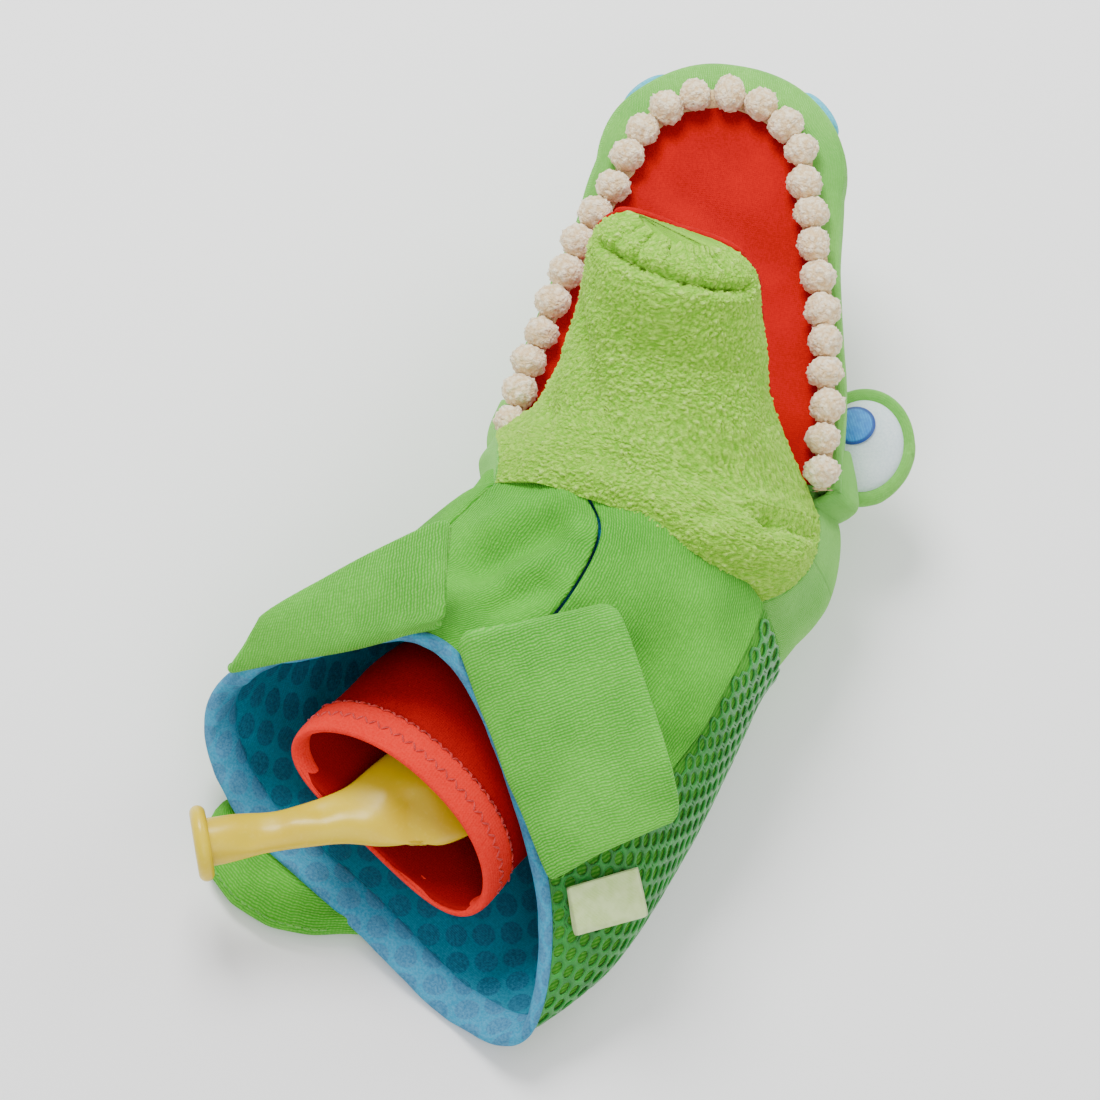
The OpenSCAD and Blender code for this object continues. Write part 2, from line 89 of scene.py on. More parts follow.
class Look:
    """A node material, with short calls for the nodes that the fabrics share."""

    def __init__(self, name, **settings):
        self.material = bpy.data.materials.new(name)
        self.material.use_nodes = True
        self.tree = self.material.node_tree
        self.shader = self.tree.nodes["Principled BSDF"]
        for key, value in settings.items():
            socket = key.replace("_", " ").title().replace("Ior", "IOR")
            self.shader.inputs[socket].default_value = value

    def node(self, kind, *links, **settings):
        made = self.tree.nodes.new("ShaderNode" + kind)
        for key, value in settings.items():
            setattr(made, key, value)
        for socket, value in enumerate(links):
            self.plug(made.inputs[socket], value)
        return made

    def plug(self, socket, value):
        if isinstance(value, bpy.types.NodeSocket):
            self.tree.links.new(value, socket)
        elif value is not None:
            socket.default_value = value

    def place(self):
        return self.node("TexCoord").outputs["Object"]

    def cloth(self):
        """The place on the cloth in mm, as an along and across vector"""
        return self.node("Attribute", attribute_name="cloth").outputs["Vector"]

    def value(self, name):
        return self.node("Attribute", attribute_name=name).outputs["Fac"]

    def split(self, vector):
        return self.node("SeparateXYZ", vector).outputs

    def math(self, operation, *values):
        return self.node("Math", *values, operation=operation).outputs[0]

    def vector(self, operation, *values):
        return self.node("VectorMath", *values, operation=operation).outputs[0]

    def noise(self, scale, detail=2.0, vector=None):
        made = self.node("TexNoise", vector or self.place())
        made.inputs["Scale"].default_value = scale
        made.inputs["Detail"].default_value = detail
        return made.outputs[0]

    def span(self, value, low, high):
        """value, stretched so that low is 0 and high is 1"""
        return self.node("MapRange", value, low, high).outputs[0]

    def mix(self, share, a, b):
        made = self.node("Mix", data_type="RGBA")
        for socket, value in zip((0, 6, 7), (share, a, b)):
            self.plug(made.inputs[socket], value)
        return made.outputs[2]

    def wave(self, value, pitch):
        """Even lines across value, each from 0 to 1"""
        return self.math("MULTIPLY_ADD", self.math("SINE", self.math(
            "MULTIPLY", value, 2 * pi / pitch)), 0.5, 0.5)

    def finish(self, colour, height, depth, strength=1.0):
        """Ends the material with its colour and a bump of this depth in mm"""
        self.plug(self.shader.inputs["Base Color"], colour)
        bump = self.node("Bump")
        bump.inputs["Strength"].default_value = strength
        bump.inputs["Distance"].default_value = depth * MM
        self.plug(bump.inputs["Height"], height)
        self.plug(self.shader.inputs["Normal"], bump.outputs[0])
        return self.material


def velour(name, dark, base, light, backing, pitch=0.95):
    """Nicki velour: brushed pile over fine knitted wales, plain backing on the inner face"""
    look = Look(name, Roughness=0.85, Sheen_weight=0.4, Sheen_roughness=0.35,
                Sheen_tint=rgb(light), Specular_ior_level=0.2)
    s, t, inside = look.split(look.cloth())
    ruffle = look.math("MULTIPLY", look.noise(300), 1.6)
    wales = look.wave(look.math("ADD", t, ruffle), pitch)
    loops = look.wave(look.math("ADD", s, ruffle), pitch * 1.2)
    knit = look.math("MULTIPLY", wales, look.math("MULTIPLY_ADD", loops, 0.45, 0.55))
    nap = look.span(look.noise(38, 3), 0.38, 0.62)
    pile = look.span(look.noise(900, 3), 0.35, 0.65)
    colour = look.mix(look.math("MULTIPLY", nap, 0.75), rgb(base), rgb(dark))
    colour = look.mix(look.math("MULTIPLY", knit, 0.5), colour, rgb(light))
    colour = look.mix(look.math("MULTIPLY", pile, 0.25), colour, rgb(dark))
    colour = look.mix(inside, colour, rgb(backing))
    height = look.math("MULTIPLY_ADD", pile, 0.5, knit)
    return look.finish(colour, height, 0.25, 0.7)


def terry(name, dark, base, light):
    """Terry with looped pile: its pits and tips come from the mesh's own pile height, and its colour
    has painted shade in the pits and a painted highlight on the tips
    """
    look = Look(name, Roughness=0.95, Sheen_weight=0.35, Sheen_roughness=0.5,
                Sheen_tint=rgb(light), Specular_ior_level=0.1)
    pile = look.value("pile")
    fuzz = look.span(look.noise(1100, 3), 0.35, 0.68)
    # Painted shade: the pits, where the pile is low, take the dark colour
    colour = look.mix(look.span(pile, 0.0, 0.4), rgb(dark), rgb(base))
    # Painted highlight: the tips of the loops are lightened towards the light colour
    colour = look.mix(look.math("MULTIPLY", look.span(pile, 0.45, 0.9), fuzz), colour, rgb(light))
    return look.finish(colour, look.math("MULTIPLY_ADD", pile, 0.6, fuzz), 0.5, 0.8)


def jersey(name, dark, base, light, pitch=0.7, dots=None, inner=None):
    """Smooth knitted jersey: fine wales, and on the lining rows of printed dots"""
    look = Look(name, Roughness=0.85, Sheen_weight=0.12, Sheen_roughness=0.45,
                Sheen_tint=rgb(light), Specular_ior_level=0.12)
    cloth = look.cloth()
    s, t, inside = look.split(cloth)
    wales = look.wave(t, pitch)
    rows = look.wave(look.math("MULTIPLY_ADD", wales, 0.25 * pitch, s), pitch)
    shade = look.span(look.noise(45, 3), 0.35, 0.65)
    fuzz = look.span(look.noise(1300, 2), 0.35, 0.65)
    colour = look.mix(look.math("MULTIPLY", shade, 0.4), rgb(base), rgb(dark))
    if dots:
        dot_colour, dot_d, dot_pitch = dots
        # Rows of dots, set in quincunx: the cloth's place turned by 45 degrees, then cut in cells
        turned = look.node("VectorRotate", cloth)
        turned.inputs["Angle"].default_value = pi / 4
        cell = look.vector("FRACTION", look.vector(
            "MULTIPLY", turned.outputs[0], (1 / dot_pitch, 1 / dot_pitch, 0)))
        x, y, _ = look.split(cell)
        from_centre = look.math("SQRT", look.math(
            "ADD", look.math("POWER", look.math("SUBTRACT", x, 0.5), 2.0),
            look.math("POWER", look.math("SUBTRACT", y, 0.5), 2.0)))
        edge = dot_d / dot_pitch / 2
        dot = look.span(from_centre, edge + 0.02, edge - 0.02)
        colour = look.mix(look.math("MULTIPLY", dot, 0.75), colour, rgb(dot_colour))
    colour = look.mix(look.math("MULTIPLY", fuzz, 0.3), colour, rgb(light))
    if inner:
        colour = look.mix(inside, colour, rgb(inner))
    height = look.math("MULTIPLY_ADD", fuzz, 0.4, look.math("MULTIPLY", wales, rows))
    return look.finish(colour, height, 0.15, 0.6)


def thread(name, dark, base, pitch=0.35, gloss=0.45):
    """Glossy filament yarn, in fine strands across the cloth"""
    look = Look(name, Roughness=gloss, Specular_ior_level=0.5, Sheen_weight=0.2)
    s = look.split(look.cloth())[0]
    strands = look.wave(look.math("ADD", s, look.math("MULTIPLY", look.noise(400), 0.5)), pitch)
    shade = look.span(look.noise(260, 2), 0.35, 0.65)
    colour = look.mix(look.math("MULTIPLY", shade, strands), rgb(base), rgb(dark))
    return look.finish(colour, strands, 0.12, 0.7)


def latex(name, base, deep):
    look = Look(name, Roughness=0.36, Specular_ior_level=0.35, Coat_weight=0.12,
                Coat_roughness=0.2)
    patches = look.span(look.noise(30, 3), 0.35, 0.7)
    dust = look.span(look.noise(700, 2), 0.55, 0.75)
    colour = look.mix(look.math("MULTIPLY", patches, 0.5), rgb(base), rgb(deep))
    colour = look.mix(look.math("MULTIPLY", dust, 0.06), colour, rgb("#fff6a0"))
    return look.finish(colour, look.noise(120, 3), 0.25, 0.35)


def plain(name, colour, roughness):
    look = Look(name, Roughness=roughness)
    grain = look.noise(800, 2)
    shade = look.mix(look.math("MULTIPLY", grain, 0.15), rgb(colour), rgb("#c8c8c8"))
    return look.finish(shade, grain, 0.05, 0.3)


BODY_VELOUR = velour("velour", "#3a9a1c", "#63bb38", "#a5dc78", "#6fae4e")
CUFF_VELOUR = velour("cuff_velour", "#45a324", "#6cc243", "#b3e48a", "#58a838")
HEAD_VELOUR = velour("head_velour", "#62b446", "#86cc62", "#bfe69e", "#86cc62", 0.65)
SIDE_VELOUR = velour("ribbed_velour", "#2f8a1e", "#5aa83a", "#98d070", "#6fae4e", 1.3)
# In the terry looks the dark colour is the painted shade of the pits and the light one the painted
# highlight of the tips
TERRY = terry("terry", "#8cc43c", "#b2dc62", "#d3ee94")
COTTON = terry("bobble_cotton", "#e6cfa8", "#f9ecd2", "#fffaf0")
PALATE = jersey("red_jersey", "#8c0006", "#be000a", "#d41814")
RED = jersey("pouch_jersey", "#8c0208", "#b4060e", "#cc241e", inner="#9a040c")
BAND = jersey("band_jersey", "#cc2a22", "#e43c30", "#f06252", 0.9)
# The lining of the sleeve and the neck is the same dotted jersey as the rim, painted darker
# throughout: painted shade for the inside of the sleeve
SHADED_LINING = jersey("dotted_lining_shaded", "#0c6878", "#1c93a8", "#5aa9c2", 0.6,
                dots=("#3c6a84", 7.2, 8.8))
BINDING = jersey("rim_lining", "#2a8ba8", "#47a2c0", "#86bfda", 0.6,
                 dots=("#5786a6", 7.2, 8.8))
NET = thread("net_yarn", "#0a6a20", "#27a33c", 0.5, 0.38)
STITCH = thread("stitch_thread", "#3c8f22", "#7fca55", 0.25)
RED_STITCH = thread("red_thread", "#a81412", "#dc3a30", 0.25)
LATEX = latex("latex", "#dfcb00", "#c8a000")
NOSE = jersey("nose_jersey", "#3fa3bd", "#6cc9dd", "#a8e2ee")
EYE_WHITE = jersey("eye_jersey", "#b9ccd4", "#dfeaec", "#f6fafa", 0.5)
LABEL = thread("label_weave", "#b9d67c", "#dcebb4", 0.4, 0.5)
BOARD = plain("board", "#e8e6e0", 0.7)


def satin_stitch(name, dark, base, light):
    """Machine embroidery: shiny threads side by side, with a darker outline"""
    look = Look(name, Roughness=0.42, Specular_ior_level=0.55, Sheen_weight=0.1)
    strands = look.wave(look.split(look.cloth())[0], 0.5)
    rows = look.span(look.noise(500, 2), 0.4, 0.6)
    colour = look.mix(look.math("MULTIPLY", strands, rows), rgb(base), rgb(light))
    colour = look.mix(look.value("outline"), colour, rgb(dark))
    return look.finish(colour, strands, 0.2, 0.8)


IRIS = satin_stitch("iris_thread", "#0a5fae", "#0a93e0", "#45b8f4")


# ---- Surfaces ----

def spline(a, b, c, d, k):
    return 0.5 * (2 * b + (c - a) * k + (2 * a - 5 * b + 4 * c - d) * k ** 2
                  + (3 * b - a - 3 * c + d) * k ** 3)


def net_at(net, u, v, closed=True):
    """Points of a smooth surface through a net of control points, closed or open across"""
    net = np.asarray(net, float)
    rows, columns = net.shape[0] - 1, net.shape[1]
    i = np.clip(np.floor(u).astype(int), 0, rows - 1)
    j = np.floor(v).astype(int)
    if not closed:
        j = np.clip(j, 0, columns - 2)
    along = []
    for a in range(-1, 3):
        row = np.clip(i + a, 0, rows)
        pick = [(j + b) % columns if closed else np.clip(j + b, 0, columns - 1)
                for b in range(-1, 3)]
        along.append(spline(*[net[row, p] for p in pick], (v - j)[..., None]))
    return spline(*along, (u - i)[..., None])


def smooth(x):
    x = np.clip(x, 0, 1)
    return x * x * (3 - 2 * x)


def unit(a):
    return a / np.maximum(np.linalg.norm(a, axis=-1, keepdims=True), 1e-9)


def normals_of(grid, centre, loop=False):
    """Unit normals of a grid of points, on the side away from centre"""
    du = np.gradient(grid, axis=0)
    dv = np.gradient(grid, axis=1)
    if loop:
        dv = (np.roll(grid, -1, 1) - np.roll(grid, 1, 1)) / 2
    n = unit(np.cross(dv, du))
    away = np.sum(n * (grid - np.asarray(centre, float)))
    return n if away > 0 else -n


def lengths(grid):
    """How far each point of a grid lies along and across the cloth"""
    s = np.linalg.norm(np.diff(grid, axis=0), axis=2).cumsum(0)
    t = np.linalg.norm(np.diff(grid, axis=1), axis=2).cumsum(1)
    s = np.concatenate([np.zeros((1, grid.shape[1])), s])
    t = np.concatenate([np.zeros((grid.shape[0], 1)), t], 1)
    return s, t - t[:, -1:] / 2


def fold(points, a, b, width, depth):
    """Push at each point near the line from a to b: depth on the line, fading over width"""
    a, b = np.asarray(a, float), np.asarray(b, float)
    k = np.clip(((points - a) @ (b - a)) / ((b - a) @ (b - a)), 0, 1)
    off = np.linalg.norm(points - a - k[..., None] * (b - a), axis=-1)
    return depth * np.exp(-(off / width) ** 2)


def ripple(points, size, depth, seed=0.0):
    """Smooth random push at each point, in waves of this size"""
    flat = points.reshape(-1, 3) / size + seed
    return depth * np.array([noise.noise(p) for p in flat]).reshape(points.shape[:-1])


def pushed(grid, centre, push, loop=False):
    """A grid moved out along its normals, by a push for each point or one for all"""
    return grid + normals_of(grid, centre, loop) * np.asarray(push)[..., None]


def folded(grid, folds):
    """The push of several folds together at each point"""
    return sum(fold(grid, *f) for f in folds)


def line_at(line, k):
    """Points of a smooth line through these points, k steps along it"""
    return net_at([[p] for p in line], k, np.zeros_like(k))


def angles(count):
    """This many angles, evenly round a full turn"""
    return np.linspace(0, 2 * pi, count + 1)[:-1]


def loops_of(points, size):
    """Height from 0 to 1 of a looped pile with loops of this size"""
    flat = points.reshape(-1, 3) / size
    heights = np.empty(len(flat))
    for i, p in enumerate(flat):
        wobble = noise.noise_vector(p * 0.7) * 0.9
        near = noise.voronoi(Vector(p) + wobble)[0]
        heights[i] = near[1] - near[0] + 0.25 * noise.noise(p * 2.3)
    return np.clip(heights * 1.3, 0, 1).reshape(points.shape[:-1])


def steps(a, b, count, rim=0.0):
    """Even steps from a to b, with closer ones within rim of both ends to round the edges"""
    even = np.linspace(a, b, count + 1)
    near = rim * np.array([0.08, 0.3, 0.65, 1])
    if not rim:
        return even
    sign = 1 if b > a else -1
    inner = even[(abs(even - a) > rim * 1.2) & (abs(even - b) > rim * 1.2)]
    return np.concatenate([[a], a + sign * near, inner, (b - sign * near)[::-1], [b]])


def cloth_mesh(name, grid, thick, centre, loop=False, folds=(), pile=None, round_ends=True):
    """A closed cloth mesh. grid is its outer face in mm. Its edges are rounded, folds are
    (a, b, width, depth) lines, and pile is the (size, depth) of a looped pile."""
    if folds:
        grid = pushed(grid, centre, folded(grid, folds), loop)
    n = normals_of(grid, centre, loop)
    s, t = lengths(grid)
    half = thick / 2
    rim = np.minimum(s, s[-1:] - s) if round_ends else np.full(s.shape, thick)
    if not loop:
        rim = np.minimum(rim, np.minimum(t - t[:, :1], t[:, -1:] - t))
    swell = half * np.sqrt(1 - (1 - np.clip(rim / half, 0, 1)) ** 2)
    middle = grid - n * half
    outer, inner = middle + n * swell[..., None], middle - n * swell[..., None]
    heights = None
    if pile:
        heights = loops_of(grid, pile[0])
        outer = outer + n * (heights * pile[1] * np.clip(rim / pile[0], 0.3, 1))[..., None]
    rows, columns = grid.shape[:2]
    outer_id = np.arange(rows * columns).reshape(rows, columns)
    inner_id = np.where(swell > 1e-6, outer_id + rows * columns, outer_id)
    wrap = columns if loop else columns - 1

    def quads(ids, flip):
        near, far = ids[:, :wrap], np.roll(ids, -1, 1)[:, :wrap]
        faces = np.stack([near[:-1], far[:-1], far[1:], near[1:]], -1).reshape(-1, 4)
        return faces[:, ::-1] if flip else faces
    across_rows = unit(np.cross(grid[0, 1] - grid[0, 0], grid[1, 0] - grid[0, 0]))
    flip = across_rows @ n[0, 0] > 0
    faces = [quads(outer_id, not flip), quads(inner_id, flip)]
    if not round_ends:
        for row, turn_over in ((0, flip), (rows - 1, not flip)):
            a, b = outer_id[row, :wrap], np.roll(outer_id[row], -1)[:wrap]
            c, d = np.roll(inner_id[row], -1)[:wrap], inner_id[row, :wrap]
            wall = np.stack([a, b, c, d], -1)
            faces.append(wall[:, ::-1] if turn_over else wall)
    faces = np.concatenate(faces)
    points = np.concatenate([outer.reshape(-1, 3), inner.reshape(-1, 3)])
    used, faces = np.unique(faces, return_inverse=True)
    faces = faces.reshape(-1, 4)
    mesh = bpy.data.meshes.new(name)
    mesh.from_pydata(points[used] * MM, [], [f if len(set(f)) == 4 else list(dict.fromkeys(f))
                                             for f in faces.tolist()])
    mesh.validate()
    flat = np.stack([s, t, np.zeros_like(s)], -1).reshape(-1, 3)
    back = flat + [0, 0, 1]
    note(mesh, "cloth", np.concatenate([flat, back])[used])
    row = np.repeat(np.linspace(0, 1, rows), columns)
    note(mesh, "row", np.concatenate([row, row])[used])
    if pile:
        note(mesh, "pile", np.tile(heights.ravel(), 2)[used])
    return mesh


def solid_mesh(name, grid, centre, pile=None):
    """A closed padded form from a stack of rings, ends included"""
    n = normals_of(grid, centre, True)
    s, t = lengths(grid)
    heights = np.zeros(s.shape)
    if pile:
        heights = loops_of(grid, pile[0])
        grid = grid + n * (heights * pile[1])[..., None]
    rows, columns = grid.shape[:2]
    ids = np.arange(rows * columns).reshape(rows, columns)
    far = np.roll(ids, -1, 1)
    faces = np.stack([ids[:-1], far[:-1], far[1:], ids[1:]], -1).reshape(-1, 4)
    if unit(np.cross(grid[1, 1] - grid[1, 0], grid[2, 0] - grid[1, 0])) @ n[1, 0] < 0:
        faces = faces[:, ::-1]
        ends = [ids[0].tolist(), ids[-1][::-1].tolist()]
    else:
        ends = [ids[0][::-1].tolist(), ids[-1].tolist()]
    mesh = bpy.data.meshes.new(name)
    mesh.from_pydata(grid.reshape(-1, 3) * MM, [], faces.tolist() + ends)
    note(mesh, "cloth", np.stack([s, t, 0 * s], -1).reshape(-1, 3))
    if pile:
        note(mesh, "pile", heights.ravel())
    return mesh


def as_mesh(built, name):
    """A bmesh as a mesh that a piece can use"""
    made = bpy.data.meshes.new(name)
    built.to_mesh(made)
    built.free()
    return made


def note(mesh, name, values):
    """Keeps a number or a vector for each point of a mesh, for its material to read"""
    vector = values.ndim == 2
    kept = mesh.attributes.new(name, "FLOAT_VECTOR" if vector else "FLOAT", "POINT")
    kept.data.foreach_set("vector" if vector else "value", values.astype(np.float32).ravel())


def piece(name, mesh, material, body=None, slot=None):
    """Puts a mesh in the scene. With a slot, it stands for the CAD node of its name, if any."""
    is_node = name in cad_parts
    made = bpy.data.objects.new(name + "_shown" if is_node else name, mesh)
    bpy.context.scene.collection.objects.link(made)
    mesh.materials.append(material)
    mesh.shade_smooth()
    if body:
        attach(made, body)
    if slot and is_node:
        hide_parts(name)
    return made


def flat_sheet(made, grid, held, **facts):
    """Works out how long the cloth is along and across, and does nothing more with it"""
    s, t = lengths(grid)


def cloth(name, grid, thick, centre, look, slot, held, body="sleeve", loop=False, folds=(),
          **facts):
    """A sheet that rides on one body"""
    mesh = cloth_mesh(name, grid, thick, centre, loop, folds)
    flat_sheet(piece(name, mesh, look, body, slot), grid, held, **facts)


def padding(name, rings, centre, look, body, slot, pile=None):
    """A padded form that rides on one body"""
    piece(name, solid_mesh(name, rings, centre, pile), look, body, slot)


def bend(made, body_a, body_b, grid, shares):
    """Bakes the piece's place into its mesh points"""
    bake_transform(made)


def turn(axis, degrees):
    c, s = cos(radians(degrees)), sin(radians(degrees))
    return {"x": np.array([[1, 0, 0], [0, c, -s], [0, s, c]]),
            "y": np.array([[c, 0, s], [0, 1, 0], [-s, 0, c]]),
            "z": np.array([[c, -s, 0], [s, c, 0], [0, 0, 1]])}[axis]


class Place:
    """A frame of its own, turned and moved from the row frame"""

    def __init__(self, turned, at):
        self.turned, self.at = turned, np.asarray(at, float)

    def __call__(self, points):
        return np.asarray(points, float) @ self.turned.T + self.at

    def inside(self, turned, at):
        return Place(self.turned @ turned, self(at))


# ---- Sleeve ----

# The CAD sleeve's control rings, hem first, and one more where the cloth reaches over the neck.
# Across: top of the belly, right belly seam, right side, back right, back, back left, left
# side, left belly seam
SLEEVE_NET = [
    [[-19, -23, 83], [41, -43, 44], [67, -74, 17], [46, -80, 1], [2, -79, 7],
     [-44, -77, 11], [-70, -64, 28], [-60, -48, 58]],
    [[-12, -3, 80], [50, -17, 52], [74, -43, 22], [46, -47, 0], [0, -47, 4],
     [-46, -45, 6], [-69, -37, 28], [-52, -21, 60]],
    [[-4, 19, 81], [50, 11, 58], [69, -3, 24], [44, -5, 0], [0, -5, -1],
     [-44, -5, 1], [-63, -1, 30], [-48, 9, 64]],
    [[0, 37, 83], [48, 31, 66], [62, 27, 30], [40, 25, 1], [-2, 25, -1],
     [-40, 25, 2], [-58, 27, 34], [-46, 35, 67]],
    [[0, 48, 85], [44, 50, 67], [56, 49, 37], [36, 49, 4], [-4, 49, 0],
     [-36, 49, 6], [-54.5, 37.5, 36], [-45.5, 39.5, 67.3]],
    [[-2, 57, 87], [39, 64, 66], [55, 62, 38], [36, 60, 5], [-4, 58, 1],
     [-37, 54, 6], [-53, 47, 38], [-48, 44.5, 67]]]
SLEEVE_END = 5
SLEEVE_MIDDLE = (0, 0, 40)
HEM_U, SIDE_V, BACK_RIGHT_V, BACK_LEFT_V, LEFT_V = 0.05, 1.05, 2.9, 5.2, 6.95
VELOUR_T, LINING_T, NET_T = 2.2, 1.0, 1.1
# Closer steps within this much of a panel's edges, in steps of the net
RIM_U, RIM_V = 0.04, 0.03
# The panels rest on the floor at this height
REST_Z = 0.25
# Size and depth in mm of the slow waves in every panel, which the lining follows
WAVE, WAVES = 24, 0.5


def slit_v(u):
    """Where the slit down the belly lies: straight at the hem, then to the left"""
    return 0.1 - 0.18 * np.maximum(np.asarray(u) - 1.5, 0)


def sleeve_points(u, v, off=0.0):
    """Points of the sleeve's outer face, lifted by off"""
    step = 0.01
    points = net_at(SLEEVE_NET, u, v)
    du = net_at(SLEEVE_NET, u + step, v) - net_at(SLEEVE_NET, u - step, v)
    dv = net_at(SLEEVE_NET, u, v + step) - net_at(SLEEVE_NET, u, v - step)
    return points + unit(np.cross(dv, du)) * np.asarray(off, float)[..., None]


def on_floor(grid, height=REST_Z):
    grid = grid.copy()
    grid[..., 2] = np.maximum(grid[..., 2], height)
    return grid


def panel(name, first, last, count, look=BODY_VELOUR, thick=VELOUR_T, off=0.0, folds=()):
    """A panel of the sleeve from one edge to another, each given as v at every u"""
    k = steps(0, 1, count, RIM_V)
    v = first(ALONG)[:, None] * (1 - k) + last(ALONG)[:, None] * k
    grid = sleeve_points(np.repeat(ALONG[:, None], len(k), 1), v, off)
    grid = on_floor(pushed(grid, SLEEVE_MIDDLE, ripple(grid, WAVE, WAVES)), REST_Z - off)
    cloth(name, grid, thick, SLEEVE_MIDDLE, look, "velour", "stretched", folds=folds)


def at(v):
    return lambda u: np.full(np.shape(u), float(v))


ALONG = steps(HEM_U, SLEEVE_END, 92, RIM_U)
# Half the gap between two panels, and half the slit's, in steps of the net
SEAM, SLIT_V = 0.006, 0.01
FOLDS_RIGHT = [((24, 8, 70), (32, 34, 74), 12, -3.0), ((-2, 20, 81), (-6, 40, 84), 7, 1.4),
               ((46, 20, 62), (30, 44, 78), 7, 1.6)]
FOLDS_LEFT = [((-31, 11, 75), (-22, 30, 79), 7, -6), ((-17, 0, 80), (-12, 14, 80.5), 5, -3.5),
              ((-36, 24, 74), (-26, 42, 79), 7, 3), ((-22, 14, 79), (-16, 34, 82), 4.5, 2.5)]
panel("back_panel", at(BACK_RIGHT_V + SEAM), at(BACK_LEFT_V - SEAM), 60)
panel("left_side_panel", at(BACK_LEFT_V + SEAM), at(LEFT_V - SEAM), 44)
panel("right_side_panel", at(SIDE_V + SEAM), at(BACK_RIGHT_V - SEAM), 44, SIDE_VELOUR, 1.2, -1.2)
panel("belly_right", lambda u: slit_v(u) + SLIT_V, at(SIDE_V - SEAM), 44, folds=FOLDS_RIGHT)
panel("belly_left", at(LEFT_V + SEAM - len(SLEEVE_NET[0])), lambda u: slit_v(u) - SLIT_V, 44,
      folds=FOLDS_LEFT)


# The net over the right side: glossy yarn round holes in a honeycomb
HOLE_PITCH = 5.4
HOLE_SHARE = 0.7


def net_mesh():
    """A honeycomb of round holes on the right side of the sleeve"""
    us = np.linspace(HEM_U - 0.02, SLEEVE_END - 0.1, 120)
    vs = np.linspace(SIDE_V - 0.02, BACK_RIGHT_V + 0.02, 90)
    u, v = np.meshgrid(us, vs, indexing="ij")
    side = sleeve_points(u, v)
    s, t = lengths(side)
    s_mid = s[:, s.shape[1] // 2]

    def to_cloth(ps, pt):
        """Where a place on the cloth, in mm, lies on the sleeve"""
        pu = np.interp(ps, s_mid, us)
        row = np.clip(np.searchsorted(us, pu), 0, len(us) - 1)
        return pu, np.interp(pt, t[row], vs, left=-1, right=-1)
    mesh = bmesh.new()
    found, places = {}, {}

    def corner(ps, pt):
        key = (round(ps, 1), round(pt, 1))
        if key not in found:
            pu, pv = to_cloth(ps, pt)
            if pv < 0:
                return None
            at_point = on_floor(sleeve_points(np.array(pu), np.array(pv), -0.55), REST_Z + 0.5)
            found[key] = mesh.verts.new(at_point * MM)
            places[found[key]] = (ps, pt, 0)
        return found[key]
    width = HOLE_PITCH * sqrt(3) / 2
    for i in range(int(s_mid[-1] / width) + 1):
        for j in range(-16, 17):
            cs, ct = i * width, (j + 0.5 * (i % 2)) * HOLE_PITCH
            ring, hole = [], []
            for a in range(12):
                angle = radians(30 * a)
                reach = HOLE_PITCH / sqrt(3) * (1 if a % 2 == 0 else sqrt(3) / 2)
                ring.append(corner(cs + reach * cos(angle), ct + reach * sin(angle)))
                hole.append(corner(cs + HOLE_SHARE * 0.5 * HOLE_PITCH * cos(angle),
                                   ct + HOLE_SHARE * 0.5 * HOLE_PITCH * sin(angle)))
            if None in ring or None in hole:
                continue
            for a in range(12):
                b = (a + 1) % 12
                mesh.faces.new((ring[a], ring[b], hole[b], hole[a]))
    bmesh.ops.recalc_face_normals(mesh, faces=mesh.faces)
    flat = np.array([places[p] for p in mesh.verts], float)
    made = as_mesh(mesh, "side_mesh")
    note(made, "cloth", flat)
    return made


side_net = piece("side_mesh", net_mesh(), NET)
thicken, soften = [side_net.modifiers.new(kind, kind) for kind in ("SOLIDIFY", "SUBSURF")]
thicken.thickness, thicken.offset = NET_T * MM, 0
soften.levels = soften.render_levels = 1
mesh = bpy.data.meshes.new_from_object(
    side_net.evaluated_get(bpy.context.evaluated_depsgraph_get()))
mesh.name = side_net.name
side_net.modifiers.clear()
side_net.data = mesh
mesh.shade_smooth()
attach(side_net, "sleeve")
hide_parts("side_mesh")

# ---- Lining and binding ----

ROUND = np.linspace(0, len(SLEEVE_NET[0]), 241)[:-1]
LINING_END = 4.55


def lining_grid():
    us = np.concatenate([[0.06, 0.12, 0.2, 0.3], np.linspace(0.42, LINING_END, 60)])
    u, v = np.meshgrid(us, ROUND, indexing="ij")
    grid = sleeve_points(u, v, -VELOUR_T - 0.35)
    rumple = 1.1 * (ripple(grid, 13, 1.0, 7.3) + 0.55) + 0.5 * (ripple(grid, 6, 1, 2.1) + 0.6)
    rumple = rumple * smooth((u - 0.35) / 0.5)
    # Where the belly dips, the lining dips with it
    dips = folded(grid, [f for f in FOLDS_RIGHT + FOLDS_LEFT if f[3] < 0])
    inset = np.maximum(rumple, 0) - ripple(grid, WAVE, WAVES) - 1.1 * dips
    return on_floor(pushed(grid, SLEEVE_MIDDLE, -inset, True), VELOUR_T + 0.8)


cloth("sleeve_lining", lining_grid(), LINING_T, SLEEVE_MIDDLE, SHADED_LINING, "lining", "hung",
      loop=True, rests_on=["belly_left", "belly_right"])

# The rim: the lining turned out over the hem, as (distance out of the hem, lift off the sleeve)
RIM_PROFILE = [(-2.4, 0.2), (-1.0, 0.9), (0.8, 0.8), (2.0, -0.4), (2.3, -1.9), (1.3, -3.3),
               (-1.5, -4.3), (-5.0, -4.6), (-8.5, -4.1), (-10.5, -3.0)]


